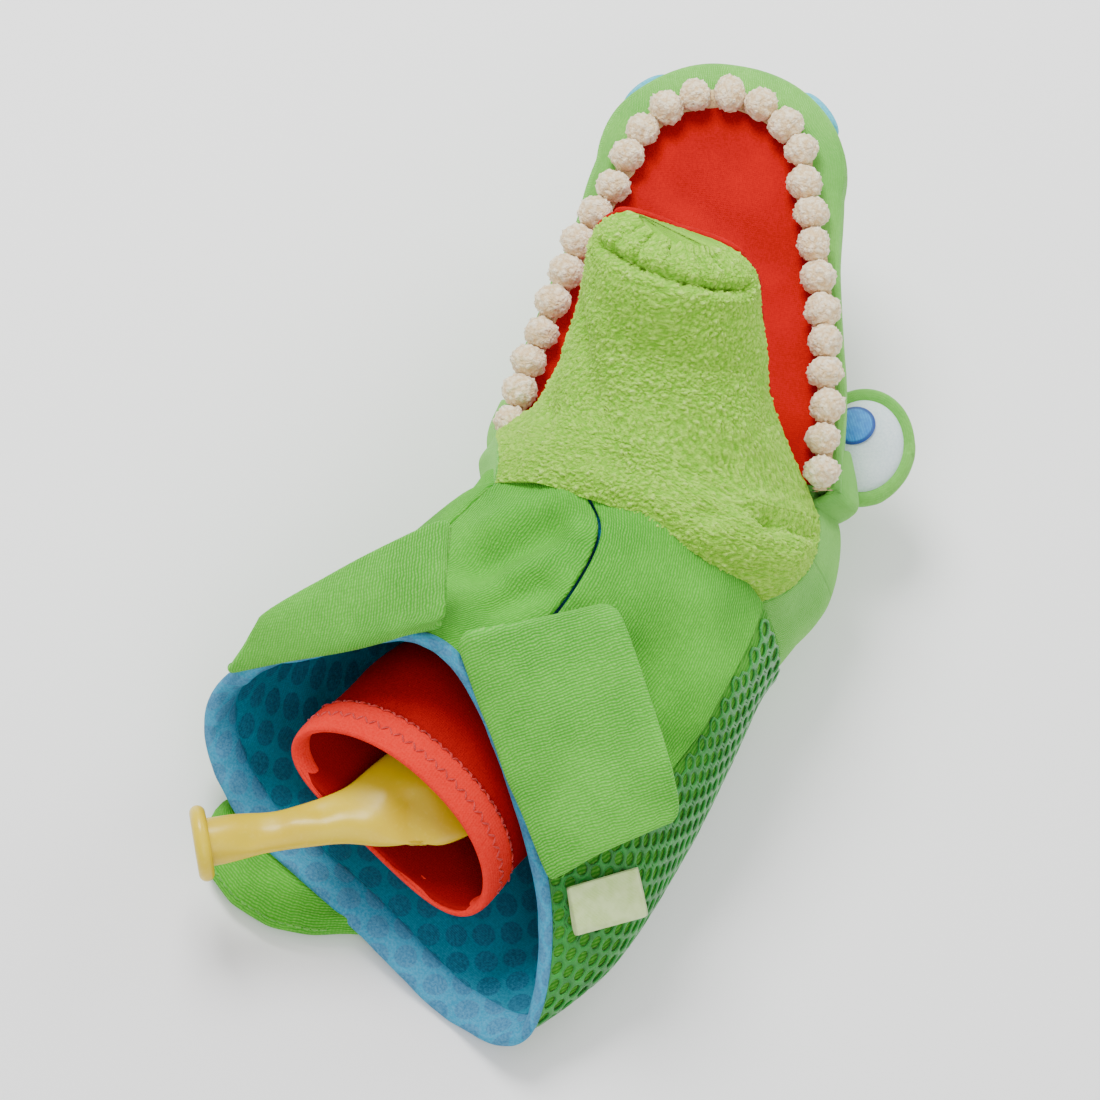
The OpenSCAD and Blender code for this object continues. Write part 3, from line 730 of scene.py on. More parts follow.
def binding_grid():
    k = np.linspace(0, len(RIM_PROFILE) - 1, 46)
    out, lift = line_at(RIM_PROFILE, k).T
    hem = sleeve_points(np.full(len(ROUND), 0.02), ROUND)
    outward = unit(hem - net_at(SLEEVE_NET, np.full(len(ROUND), 0.25), ROUND))
    normal = unit(sleeve_points(np.full(len(ROUND), 0.02), ROUND, 1.0) - hem)
    grid = (hem[None] + outward[None] * out[:, None, None] + normal[None] * lift[:, None, None])
    tuck = (np.clip((k - 2) / 2, 0, 1) * np.clip((8.5 - k) / 3, 0, 1))[:, None]
    wrinkle = (ripple(grid, 9, 1.5, 4.4) + ripple(grid, 4, 0.5, 1.7)) * tuck
    grid = grid + normal[None] * np.minimum(wrinkle, 0.6)[..., None]
    return on_floor(grid, REST_Z)


cloth("hem_binding", binding_grid(), LINING_T, SLEEVE_MIDDLE, BINDING, "lining", "folded",
      loop=True, rests_on=["sleeve_lining"])

# ---- Woven label ----

LABEL_AT = Place(turn("z", -31) @ turn("y", 38), sleeve_points(np.array(0.55),
                                                                np.array(SIDE_V + 0.12), 2.0)
                 + np.array([2.5, 3.5, 1.5]))
LABEL_LONG, LABEL_WIDE, LABEL_T = 15.5, 23.0, 0.5


def label_grid():
    """A ribbon folded double, with a slim loop at its fold"""
    path = [(0, 0, -0.35), (4, 0, -0.6), (9, 0, -1.2), (13.5, 0, -1.5), (LABEL_LONG, 0, -0.4),
            (LABEL_LONG, 0, 0.6), (13.5, 0, 1.7), (9, 0, 1.5), (4, 0, 1.0), (0, 0, 0.45)]
    row = line_at(path, np.linspace(0, len(path) - 1, 50))
    width = steps(-LABEL_WIDE / 2, LABEL_WIDE / 2, 20)
    grid = row[:, None] + np.array([0, 1, 0]) * width[None, :, None]
    grid[..., 2] += 0.5 * np.sin(width / 8)[None] * (grid[..., 0] / LABEL_LONG)
    return LABEL_AT(grid)


cloth("woven_label", label_grid(), LABEL_T, LABEL_AT((LABEL_LONG / 2, 0, 0)), LABEL, "label",
      "folded")

# ---- Pouch and balloon ----

POUCH = Place(turn("y", 14) @ turn("x", -90), (-3, -64, 41))
POUCH_W, POUCH_H, POUCH_DEPTH = 74.0, 34.0, 60.0
LIP_BACK, BAND_W, BAND_T, JERSEY_T = 17.0, 11.0, 1.2, 1.4


def lip_at(angle):
    """How far back the pouch's lip lies at this angle"""
    return LIP_BACK * (0.5 - 0.5 * np.sin(angle)) ** 1.3 - 2


def pouch_points(angle, k, grow=0.0):
    """Points of the pouch: angle round the mouth, from the right and then down, and k from
    the lip, 0, to the closed end, 1. The upper lip lies further back than the lower one."""
    c, s = np.cos(angle), np.sin(angle)
    lip = lip_at(angle)
    close = np.sqrt(np.clip(1 - np.clip((k - 0.55) / 0.47, 0, 1) ** 2.2, 0.002, 1))
    x = (POUCH_W / 2 + grow) * np.sign(c) * np.abs(c) ** 0.9 * (0.55 + 0.45 * close)
    y = (POUCH_H / 2 + grow) * np.sign(s) * np.abs(s) ** 1.1 * (0.12 + 0.88 * close)
    # The upper lip stands in an arch over a nearly straight lower lip
    y = y * (1 - 0.55 * np.clip(s, 0, 1) * (1 - k)) + 3.0 * (1 - k) * np.clip(s, 0, 1)
    y = y + 1.5 * np.cos(angle * 2) * (1 - k) - 0.8 * c
    return POUCH(np.stack([x, y, lip + (POUCH_DEPTH - lip) * k], -1))


ANGLES = angles(180)
k, angle = np.meshgrid(np.linspace(0, 1, 56), ANGLES, indexing="ij")
pouch = pouch_points(angle, k)
pouch_hub = POUCH((0, 0, 30))
pouch = pushed(pouch, pouch_hub, ripple(pouch, 16, 1.2, 5.0), True)
cloth("balloon_pouch", pouch, JERSEY_T, pouch_hub, RED, "pouch_jersey", "hung", loop=True,
      rests_on=["sleeve_lining"])

# The band round the pouch's mouth, rolled over the lip and stitched down along both edges
BAND_PROFILE = [(5.0, -1.9), (2.5, -2.0), (0.6, -1.7), (-0.9, -0.7), (-0.7, 0.8),
                (2.0, 1.5), (6.0, 1.5), (BAND_W - 1, 1.3), (BAND_W, 0.7)]


def band_points(k, angle):
    """The band: k steps along its profile from inside the lip to its outer edge"""
    back, lift = line_at(BAND_PROFILE, k[:, 0]).T
    return pouch_points(angle, back[:, None] / (POUCH_DEPTH - lip_at(angle)), lift[:, None])


k, angle = np.meshgrid(np.linspace(0, len(BAND_PROFILE) - 1, 40), ANGLES, indexing="ij")
band = band_points(k, angle)
cloth("pouch_band", band, BAND_T, pouch_hub, BAND, "pouch_band", "folded", loop=True,
      rests_on=["balloon_pouch"])


def stitches(name, path, normals, length, width, radius, material, body, zigzag=True):
    """A row of stitches along path (mm), each a short plump thread lying on the cloth"""
    steps_on = np.concatenate([[0], np.linalg.norm(np.diff(path, axis=0), axis=1).cumsum()])

    def at_length(line, where):
        return np.array([np.interp(where, steps_on, line[:, a]) for a in range(3)])
    mesh = bmesh.new()
    for i in range(int(steps_on[-1] / length)):
        ends = []
        for j, side in ((i + 0.1, -1), (i + 0.9, 1)):
            p, n = at_length(path, j * length), unit(at_length(normals, j * length))
            onward = at_length(path, j * length + 0.4) - p
            cross = unit(np.cross(n, unit(onward))) * width / 2
            turn_side = side * (1 if i % 2 else -1) if zigzag else 0
            ends.append((p + cross * turn_side, n))
        (a, na), (b, _) = ends
        sideways = unit(np.cross(na, unit(b - a)))
        rings = []
        for k_on in (0, 0.12, 0.35, 0.65, 0.88, 1):
            thick = radius * (0.35 + 0.65 * sin(pi * min(max(k_on, 0.05), 0.95)) ** 0.5)
            centre = a + (b - a) * k_on + na * radius * (0.9 * sin(pi * k_on) - 0.25)
            rings.append([mesh.verts.new(Vector(centre + thick * (
                sideways * cos(pi * c / 3) + na * sin(pi * c / 3))) * MM) for c in range(6)])
        for near, far in zip(rings, rings[1:]):
            for c in range(6):
                mesh.faces.new((near[c], near[(c + 1) % 6], far[(c + 1) % 6], far[c]))
        mesh.faces.new(rings[0][::-1])
        mesh.faces.new(rings[-1])
    bmesh.ops.recalc_face_normals(mesh, faces=mesh.faces)
    mesh = as_mesh(mesh, name)
    points = np.empty(len(mesh.vertices) * 3)
    mesh.vertices.foreach_get("co", points)
    note(mesh, "cloth", points.reshape(-1, 3) / MM * [1, 1, 0])
    piece(name, mesh, material, body)


band_n = normals_of(band, pouch_hub, True)
for number, row in enumerate((28, 37)):
    # Only the upper lip shows its stitches; they lie a hair above the band
    upper = np.arange(len(ANGLES))[(ANGLES > pi * 0.98) & (ANGLES < pi * 2)]
    stitches(f"band_stitch_{number + 1}", band[row, upper] + band_n[row, upper] * 0.05,
             band_n[row, upper], 2.1, 1.9, 0.33, RED_STITCH, "sleeve")

# The balloon: a flat fan inside the pouch, a neck that narrows over the lip, a rolled rim
BALLOON_ROOT = np.array([-2.0, -53, 41])
BALLOON_AXIS = turn("z", -40) @ turn("x", 97) @ np.array([0, 0, 1.0])
BALLOON_SIDE = unit(np.cross([0, 0, 1.0], BALLOON_AXIS))
BALLOON_UP = np.cross(BALLOON_AXIS, BALLOON_SIDE)
BALLOON_HUB = BALLOON_ROOT + BALLOON_AXIS * 20
NECK_LONG, RIM_R, ROLL_R, LATEX_T = 62.0, 7.4, 1.7, 0.7
# Distance along the axis, half width, half height, shift to the side and up
BALLOON_ROWS = [(-44, 1.5, 0.6, -13, -1), (-40, 11, 2.2, -13, -1), (-30, 17.5, 4.2, -11, -1),
                (-16, 19.5, 4.6, -8, -1), (-4, 17.5, 3.6, -5, -0.5), (8, 12.5, 2.6, -2.5, 0),
                (20, 8.6, 2.9, -0.8, 0), (34, 7.0, 4.2, 0, 0), (48, 7.2, 5.6, 0, 0),
                (NECK_LONG - 4, 7.3, 6.9, 0, 0), (NECK_LONG, RIM_R, RIM_R, 0, 0)]


def balloon_grid():
    control = np.array(BALLOON_ROWS, float)
    at_row = line_at(control, np.linspace(0, len(control) - 1, 110))
    roll = np.radians(np.linspace(-90, 200, 16))
    rolled = np.stack([NECK_LONG - 0.2 + ROLL_R * np.cos(roll),
                       RIM_R + ROLL_R * (1 + np.sin(roll)), RIM_R + ROLL_R * (1 + np.sin(roll)),
                       0 * roll, 0 * roll], 1)
    at_row = np.concatenate([at_row, rolled])
    round_it = angles(96)
    along, wide, high, aside, lift = [at_row[:, c][:, None, None] for c in range(5)]
    c, s = np.cos(round_it)[None, :, None], np.sin(round_it)[None, :, None]
    power = np.clip(along / NECK_LONG, 0, 1)
    flat = np.sign(c) * np.abs(c) ** (1.25 - 0.25 * power)
    grid = (BALLOON_ROOT + BALLOON_AXIS * along + BALLOON_SIDE * (wide * flat + aside)
            + BALLOON_UP * (high * s + lift))
    soft = np.clip((NECK_LONG - 6 - along[..., 0]) / 12, 0, 1)
    dents = [((-20, -72, 39), (-33, -88, 36), 4.5, -2.4), ((-8, -66, 44), (-24, -78, 41), 5, 1.6),
             ((-2, -52, 45), (8, -60, 43), 5, -2.0), ((-30, -92, 40), (-38, -98, 38), 3, -1.2)]
    push = folded(grid, dents) + ripple(grid, 18, 1.5, 9.1)
    return pushed(grid, BALLOON_HUB, push * soft, True)


piece("balloon", cloth_mesh("balloon", balloon_grid(), LATEX_T, BALLOON_HUB, True), LATEX,
      "limp_balloon", "latex")

# ---- Cuffs ----

HEM_TOP_R, HEM_RIGHT = np.array([-17, -20, 85.5]), np.array([46.0, -44, 47])
HEM_TOP_L, HEM_LEFT = np.array([-24, -21, 88.6]), np.array([-68.0, -52, 58.6])
# How much of its length a cuff loses at its corners, and its thickness in mm
CORNER, CUFF_T = 0.2, 5.2


def cuff(name, body, net_rows, thick, under, folds):
    """A cuff on its hinge body, spread out over the panel under it"""
    us, vs = steps(0, len(net_rows) - 1, 46, 0.11), steps(0, len(net_rows[0]) - 1, 60, 0.12)
    u, v = np.meshgrid(us, vs, indexing="ij")
    # Rounded corners: the rows draw in towards the ends of the columns
    end = abs(2 * v / vs[-1] - 1) ** 9
    u = us[-1] * (0.5 + (u / us[-1] - 0.5) * (1 - CORNER * end))
    grid = net_at(net_rows, u, v, closed=False)
    hub = grid.mean((0, 1)) - (0, 0, 40)
    grid = pushed(grid, hub, ripple(grid, 20, 0.7, 3.0))
    cloth(name, grid, thick, hub, CUFF_VELOUR, "velour", "folded", body, folds=folds,
          rests_on=[under])


def lay(a, b, k, lift=0.0, out=(0, 0, 0)):
    """A point on the line from a to b, lifted and moved out"""
    return np.asarray(a) * (1 - k) + np.asarray(b) * k + np.array([0, 0, lift]) + np.array(out)


FREE_R = (HEM_TOP_R + [28, 40, 9.5], HEM_RIGHT + [20, 34, 22])
FREE_L = (HEM_LEFT + [-2, 7, 9], HEM_TOP_L + [-18, 25, 12.5])
# The soft left cuff runs a little further down the hem than its hinge
LOW_L = np.array([-1, -6, -9.0])
COLUMNS = np.linspace(0, 1, 5)
cuff_right_rows = [
    [lay(HEM_TOP_R, HEM_RIGHT, k, -2.5, (0, 4, 0)) for k in COLUMNS],
    [lay(HEM_TOP_R, HEM_RIGHT, k, 1.8, (-1.5 * sin(pi * k), -1, 0)) for k in COLUMNS],
    [lay(HEM_TOP_R, HEM_RIGHT, k, 6.2, (2 + k, 3, 0)) for k in COLUMNS]]
cuff_right_rows += [[lay(lay(HEM_TOP_R, HEM_RIGHT, k), lay(*FREE_R, k), share,
                         lift + arch * sin(pi * k)) for k in COLUMNS]
                    for share, lift, arch in ((0.38, 3.2, 3.5), (0.75, 1.5, 3.5), (1.0, -1.0, 2))]
cuff("cuff_right", "right_cuff", cuff_right_rows, CUFF_T, "belly_right", [
    ((2, 8, 90), (33, -14, 77), 10, -2.2), ((16, 14, 92), (54, -2, 72), 7, 2.0),
    ((30, -26, 66), (44, -16, 66), 8, -1.5)])

# Each cuff starts tucked behind the rim of the hem, where it is sewn down
cuff_left_rows = [
    [lay(HEM_LEFT + LOW_L, HEM_TOP_L, k, -4.0, (1.5, 3.0 - sin(pi * k), 0)) for k in COLUMNS],
    [lay(HEM_LEFT + LOW_L, HEM_TOP_L, k, 0.5, (0, -1 - 2 * sin(pi * k), 0)) for k in COLUMNS],
    [lay(HEM_LEFT + LOW_L * 0.35, HEM_TOP_L, k, 5.5, (-0.5, 1.5, 2.5 * sin(pi * k)))
     for k in COLUMNS],
    [lay(lay(HEM_LEFT + LOW_L * 0.35, HEM_TOP_L, k), lay(*FREE_L, k), 0.55,
         3.5 + 3.5 * sin(pi * k)) for k in COLUMNS],
    [lay(lay(HEM_LEFT, HEM_TOP_L, k), lay(*FREE_L, k), 1.0, 1.0 + 3 * sin(pi * k))
     for k in COLUMNS]]
cuff("cuff_left", "left_cuff", cuff_left_rows, CUFF_T * 0.6, "belly_left", [
    ((-50, -40, 80), (-30, -24, 92), 7, -1.2)])

# ---- Tail ----

TAIL = Place(turn("z", 96), (8, -73, 0))
TAIL_LONG, TAIL_THICK = 63.0, 9.5
# Half width of the tail along its length, with its sewn gathers at the root
TAIL_WIDTHS = [(0, 4.5), (8, 8), (16, 13.5), (28, 18.0), (42, 19), (52, 16.5), (59, 11.5),
               (62, 7), (TAIL_LONG, 0.6)]


def tail_grid():
    k = np.linspace(0, 1, 76) ** 0.8
    y = TAIL_LONG * k - 3
    half = np.interp(y + 3, *zip(*TAIL_WIDTHS))
    half = np.convolve(np.pad(half, 2, "edge"), np.ones(5) / 5, "valid")
    half[-1] = 0.4
    a = angles(128)
    c, s = np.cos(a), np.sin(a)
    thick = TAIL_THICK / 2 * np.minimum(1, (half / 10) ** 0.6)
    x = half[:, None] * np.sign(c) * np.abs(c) ** 0.85
    # Pillowed, and pinched to a flat welt outside the topstitching
    edge = np.clip(1 - np.abs(c), 0, 1)
    pillow = 0.34 + 0.66 * np.clip(edge / 0.42, 0, 1) ** 0.7
    z = thick[:, None] * np.sign(s) * np.abs(s) ** 0.45 * pillow
    gather = np.clip(1 - k / 0.3, 0, 1)[:, None] * np.cos(a * 9)
    z = z + gather * np.abs(s)
    grid = np.stack([x - 3 * np.sin(pi * k)[:, None], y[:, None] + 0 * x, z], -1)
    grid[..., 2] += 5.2 - np.sin(pi * k)[:, None]
    return on_floor(TAIL(grid))


def beside_edge(points):
    """Points in a run round the tail, a few millimetres in from its edge"""
    return np.concatenate([points[10:70, 9], points[10:70, 55][::-1]])


tail = tail_grid()
tail_hub = TAIL((-3, 30, 4.8))
padding("tail", tail, tail_hub, BODY_VELOUR, "tail_piece", "velour")
run, run_n = beside_edge(tail), beside_edge(normals_of(tail, tail_hub, True))
stitches("tail_stitch", run + run_n * 0.05, run_n, 2.6, 0.8, 0.3, STITCH, "tail_piece", False)

# ---- Head frame ----

NECK = (-5, 72, 44)
HEAD = Place(turn("z", 30) @ turn("x", 11) @ turn("y", -11), NECK)
JAW = HEAD.inside(turn("x", 51), (-2, 23, 7))
PALATE_Z, MOUTH_Y, SNOUT_REACH, TIP_HALF, MOUTH_HALF = 5.0, 18.0, 145.0, 29.0, 50.0
TIP_Y = SNOUT_REACH - TIP_HALF
ARM_BOW, SNOUT_DEPTH = 4.0, 38.0

# ---- Neck: terry under the chin, velour round the back, and the lining inside both ----

# Rows from the sleeve to the jaw; columns from the right seam over the throat to the left seam
TERRY_ROWS = [
    [(36, 60, 62), (25, 57, 76), (11, 53, 83), (-5, 49.5, 84.5), (-20, 45, 82.5),
     (-36, 41, 77), (-47, 38, 66)],
    [(42, 76, 59), (35, 72, 75), (15, 60, 87), (-6, 55, 89), (-21, 50, 87), (-38, 46, 80),
     (-50, 43, 67)],
    [(41, 91, 57), (37, 84, 73), (20, 70, 87), (-6, 62, 91), (-22, 57, 89), (-40, 51, 82),
     (-55, 50, 64)],
    [(34, 103, 58), (28, 92, 70), (17, 78, 84), (-9, 67, 93), (-26, 61, 91), (-44, 57, 81),
     (-61, 60, 52)]]
# Rows from the sleeve to the head; columns from the right seam round the back to the left seam
VELOUR_ROWS = [
    [(36, 60, 62), (53, 60, 38), (36, 58, 4), (-4, 55, 1.5), (-37, 52, 7), (-51, 45, 38),
     (-47, 38, 66)],
    [(42, 76, 59), (52, 76, 36), (36, 74, 6), (-5, 66, 3), (-42, 58, 8), (-57, 50, 38),
     (-50, 43, 67)],
    [(41, 91, 57), (51, 93, 37), (35, 90, 10), (-8, 80, 5), (-45, 65, 10), (-61, 55, 37),
     (-55, 50, 64)],
    [(34, 103, 58), (40, 112, 42), (28, 110, 22), (-11, 95, 10), (-45, 76, 11), (-61, 65, 27),
     (-61, 60, 52)]]
NECK_HUB = (-8, 75, 44)
JAW_LEN, JAW_HALF, JAW_TIP_HALF = 76.0, 39.0, 23.0
# The soft jaw reaches further on its left, and a little past its board
JAW_SKEW, JAW_MORE = 0.33, 3.5


def jaw_reach(x, share):
    """How much further than its board the jaw reaches at x"""
    return (JAW_MORE - np.where(x < 0, JAW_SKEW, JAW_SKEW / 3) * x) * share ** 2


def jaw_points(k, a, off=0.0, root=26.0):
    """The outside of the lower jaw in its own frame: k from root to tip, a in degrees from
    its right edge over the chin to its left edge"""
    c, s = np.cos(np.radians(a)), np.sin(np.radians(a))
    y = (4 + root * s) * (1 - k) + JAW_LEN * k
    share = np.clip(y / JAW_LEN, 0, 1)
    end = np.clip((share - 0.84) / 0.17, 0, 1)
    close = np.sqrt(np.maximum(0.02, 1 - end ** 2.4))
    half = (JAW_HALF + (JAW_TIP_HALF + 1 - JAW_HALF) * share ** 0.8) * (0.25 + 0.75 * close)
    deep = (30 - 12 * share) * close
    x = (half + off) * np.sign(c) * np.abs(c) ** 0.8
    return np.stack([x, y + jaw_reach(x, share),
                     1.8 + np.maximum(0.4, (deep + off) * np.abs(s) ** 0.8)], -1)


JAW_COLUMNS = np.linspace(0, 180, 7)
# Then the terry runs on over the jaw's root: (how far along the jaw, lift off it)
terry_rows = TERRY_ROWS + [JAW(jaw_points(k, JAW_COLUMNS, lift)).tolist()
                           for k, lift in ((0.1, 4.2), (0.26, 1.6), (0.42, -0.9), (0.56, -4.5))]
TERRY_PILE = (1.5, 1.1)
TERRY_T = 2.6


def neck_piece(name, rows, u0, u1, bodies, thick, material, slot, pile=None, folds=(), off=0.0,
               loop=False, count=(30, 150), until=None):
    """A stretch of the neck between rows u0 and u1."""
    us = np.linspace(u0, u1, count[0])
    vs = (np.linspace(0, len(rows[0]), count[1] + 1)[:-1] if loop
          else np.linspace(0, len(rows[0]) - 1, count[1]))
    u, v = np.meshgrid(us, vs, indexing="ij")
    grid = net_at(rows, u, v, closed=loop)
    if folds:
        grid = pushed(grid, NECK_HUB, folded(grid, folds), loop)
    grid = on_floor(pushed(grid, NECK_HUB, off, loop), REST_Z - min(off, 0))
    mesh = cloth_mesh(name, grid, thick, NECK_HUB, loop, pile=pile, round_ends=False)
    made = piece(name, mesh, material, slot=slot)
    bend(made, *bodies, grid, smooth((mesh_rows(mesh, us) - u0) / ((until or u1) - u0)))
    flat_sheet(made, grid, "hung")


def mesh_rows(mesh, us):
    """Which row of the net each point of the mesh came from"""
    row = np.empty(len(mesh.vertices), np.float32)
    mesh.attributes["row"].data.foreach_get("value", row)
    return us[0] + (us[-1] - us[0]) * row


# Soft folds on the jaw, in its own frame, that run on into the throat
SIDE_FOLDS = [((-28, 52, 13), (-12, 24, 30), 4.5, -3.2), ((-21, 54, 19), (-5, 28, 29), 6, 1.6),
              ((-39, 30, 14), (-30, 19, 30), 3.5, -2.4), ((30, 24, 14), (22, 17, 31), 3.5, -2.2)]
TERRY_FOLDS = [(tuple(JAW(a)), tuple(JAW(b)), wide, deep) for a, b, wide, deep in SIDE_FOLDS] + [
    ((12, 64, 87), (27, 79, 79), 3.5, -3.0), ((27, 79, 79), (38, 97, 62), 3.2, -3.0),
    ((18, 58, 84), (38, 76, 70), 7, 1.8), ((18, 76, 86), (36, 101, 66), 5, 1.8)]
for name, u0, u1, bodies, count, until in (
        ("neck_terry", 0, 2, ("sleeve", "neck"), 44, None),
        ("throat_gusset", 2, 3, ("neck", "head"), 24, None),
        ("jaw_gusset", 3, 6.8, ("head", "lower_jaw"), 90, 4.1)):
    neck_piece(name, terry_rows, u0, u1, bodies, TERRY_T, TERRY, "terry", TERRY_PILE,
               TERRY_FOLDS, count=(count, 190), until=until)
VELOUR_FOLDS = [((56, 72, 20), (48, 100, 25), 9, 2.0), ((45, 68, 50), (50, 84, 48), 6, -1.5)]
neck_piece("neck_gusset", VELOUR_ROWS, 0, 2, ("sleeve", "neck"), VELOUR_T, HEAD_VELOUR,
           "head_velour", folds=VELOUR_FOLDS)
# Past the crease the velour runs on inside the back of the head
TUCKED = HEAD([(44, 25, 3), (48, 25, -9), (35, 25, -27), (0, 25, -34), (-35, 25, -27), (-48, 25, -9),
               (-47, 25, 2)]).tolist()
neck_piece("neck_back", VELOUR_ROWS + [TUCKED], 2, 3.9, ("neck", "head"), VELOUR_T, HEAD_VELOUR,
           "head_velour", folds=VELOUR_FOLDS, count=(36, 150), until=3.0)
ring_rows = [list(t) + list(v[1:-1])[::-1] for t, v in zip(TERRY_ROWS, VELOUR_ROWS)]
neck_piece("neck_lining", ring_rows, 0, 1.8, ("sleeve", "neck"), LINING_T, SHADED_LINING, "lining",
           off=-7.0, loop=True, count=(24, 120))

# ---- Head ----

def closed_across(rings, count):
    """Rings closed straight across, from the last point of each to its first"""
    k = np.linspace(0, 1, count)[1:-1, None]
    return np.concatenate([rings, [r[-1] * (1 - k) + r[0] * k for r in rings]], 1)


def edge_at(s):
    """The mouth's edge: place, outward direction, for s from 0, right corner, to 1, left"""
    s = np.asarray(s, float)
    arm = sqrt((MOUTH_HALF - TIP_HALF) ** 2 + (TIP_Y - MOUTH_Y) ** 2)
    arc = pi * TIP_HALF
    d = s * (2 * arm + arc)
    side = np.where(d > arm + arc, -1, 1)
    k = np.clip(np.where(side > 0, d, 2 * arm + arc - d) / arm, 0, 1)
    x = side * (MOUTH_HALF + (TIP_HALF - MOUTH_HALF) * k + ARM_BOW * np.sin(pi * k))
    y = MOUTH_Y + (TIP_Y - MOUTH_Y) * k
    angle = np.clip((d - arm) / TIP_HALF, 0, pi)
    on_arc = (d > arm) & (d < arm + arc)
    x = np.where(on_arc, TIP_HALF * np.cos(angle), x)
    y = np.where(on_arc, TIP_Y + TIP_HALF * np.sin(angle), y)
    lean = (MOUTH_HALF - TIP_HALF) / arm
    out = np.where(on_arc[..., None], np.stack([np.cos(angle), np.sin(angle)], -1),
                   np.stack([side * sqrt(1 - lean ** 2), 0 * x + lean], -1))
    return np.stack([x, y], -1), out


def spine_at(y):
    """The middle line that the snout's and the palate's rings close on"""
    return np.stack([0 * y, np.minimum(y, TIP_Y - 2)], -1)


def snout_rings():
    """Rings of the stuffed snout, from under the trim round to the back of the head"""
    s = np.linspace(0, 1, 200)
    edge, out = edge_at(s)
    # Even out the turn from the straight arms to the round tip
    soft = np.hanning(41)[:, None] / np.hanning(41).sum()
    for _ in range(2):
        wide = np.pad(out, ((20, 20), (0, 0)), "edge")
        out = np.stack([np.convolve(wide[:, a], soft[:, 0], "valid") for a in (0, 1)], -1)
    out = unit(out)
    tip = smooth((edge[:, 1] - TIP_Y + 40) / 60)
    swell = 4.5 + 9.0 * tip + 1.5 * np.clip(edge[:, 0] / MOUTH_HALF, 0, 1)
    rings = []
    for o, z in ((-7, 0.2), (-3.5, 1.2), (-1, 1.9), (1.0, 2.1)):
        rings.append(np.concatenate([edge + out * (o if o < 0 else o + 0.2 * swell[:, None]),
                                     np.full((len(s), 1), PALATE_Z - 0.8 + z)], 1))
    depth = SNOUT_DEPTH * (1 - 0.22 * np.clip((edge[:, 1] - MOUTH_Y) / (TIP_Y - MOUTH_Y), 0, 1))
    brow = 5.0 * np.exp(-((edge[:, 1] - 52) / 14) ** 2)
    for t in np.radians(np.linspace(-18, 90, 56)):
        c, si = max(cos(t), 0.0) ** 0.8, abs(sin(t)) ** 0.9 * (1 if t > 0 else -0.22)
        rim = edge + out * swell[:, None]
        fat = 1 + 0.07 * max(0, sin(2 * t))
        middle = spine_at(edge[:, 1])
        xy = middle + (rim - middle) * c * fat
        rings.append(np.concatenate([xy, (PALATE_Z - 1 - (depth + brow * max(0, sin(t)) ** 4)
                                          * si)[:, None]], 1))
    return closed_across(np.array(rings), 26)


snout = snout_rings()
snout_hub = np.array([0, 80, -8])
creases = [((44, 60, -14), (36, 96, -16), 8, 1.2), ((30, 128, -8), (14, 146, -10), 7, -1.0)]
snout = pushed(snout, snout_hub, folded(snout, creases) + ripple(snout, 22, 0.8, 6.0), True)
padding("snout_cover", HEAD(snout), HEAD(snout_hub), HEAD_VELOUR, "head", "head_velour")

# The back of the head, row by row from inside the neck's crease up to the snout
BACK_ROWS = [
    [(46, 13, 3), (51, 13, -10), (36, 13, -29), (0, 13, -36), (-36, 13, -28), (-50, 13, -10),
     (-49, 13, 2)],
    [(52, 16, 6), (61, 17, -8), (43, 17, -34), (0, 17, -41), (-40, 17, -33), (-56, 17, -9),
     (-53, 16, 5)],
    [(54.5, 23, 5), (60, 26, -10), (42, 27, -35), (0, 27, -41), (-41, 27, -35), (-58, 26, -10),
     (-54.5, 23, 5)],
    [(54, 34, 2), (55.5, 38, -11), (40, 38, -34), (0, 38, -38), (-40, 38, -34), (-55.5, 38, -11),
     (-54, 34, 2)]]
HEAD_BACK_T, PALATE_T, TAPE_T = 2.6, 1.2, 1.2
u, v = np.meshgrid(steps(0, 3, 30, 0.1), np.linspace(0, 6, 150), indexing="ij")
head_back = on_floor(HEAD(net_at(BACK_ROWS, u, v, closed=False)))
cloth("head_back", head_back, HEAD_BACK_T, HEAD((0, 24, -6)), HEAD_VELOUR, "head_velour",
      "stretched", "head", rests_on=["snout_cover"])


def palate_grid():
    """The red lining, row by row from the mouth's corners to its tip"""
    run = np.concatenate([np.linspace(0, 0.44, 90)[:-1], np.linspace(0.44, 0.494, 24)])
    (right_edge, right_out), (left_edge, left_out) = edge_at(run), edge_at(1 - run)
    right_edge, left_edge = right_edge - right_out * 1.2, left_edge - left_out * 1.2
    k = steps(0, 1, 70, 0.01)[None, :, None]
    grid = right_edge[:, None] * (1 - k) + left_edge[:, None] * k
    grid = np.concatenate([grid, np.full(grid.shape[:2] + (1,), PALATE_Z + 1.1)], -1)
    lifts = (ripple(grid, 40, 0.5, 3.3) + fold(grid, (24, 84, 6), (-26, 108, 6), 6, 1.5)
             + fold(grid, (24, 93, 6), (-22, 117, 6), 5, -0.7))
    grid[..., 2] += lifts * np.clip((1 - abs(2 * k[..., 0] - 1)) * 4, 0, 1)
    return HEAD(grid)


cloth("upper_palate", palate_grid(), PALATE_T, HEAD((0, 80, -60)), PALATE, "red_jersey",
      "stretched", "head", rests_on=["upper_mouth_board"])

# ---- Bobble trim: the teeth ----

BOBBLES, BOBBLE_D = 27, 12.2


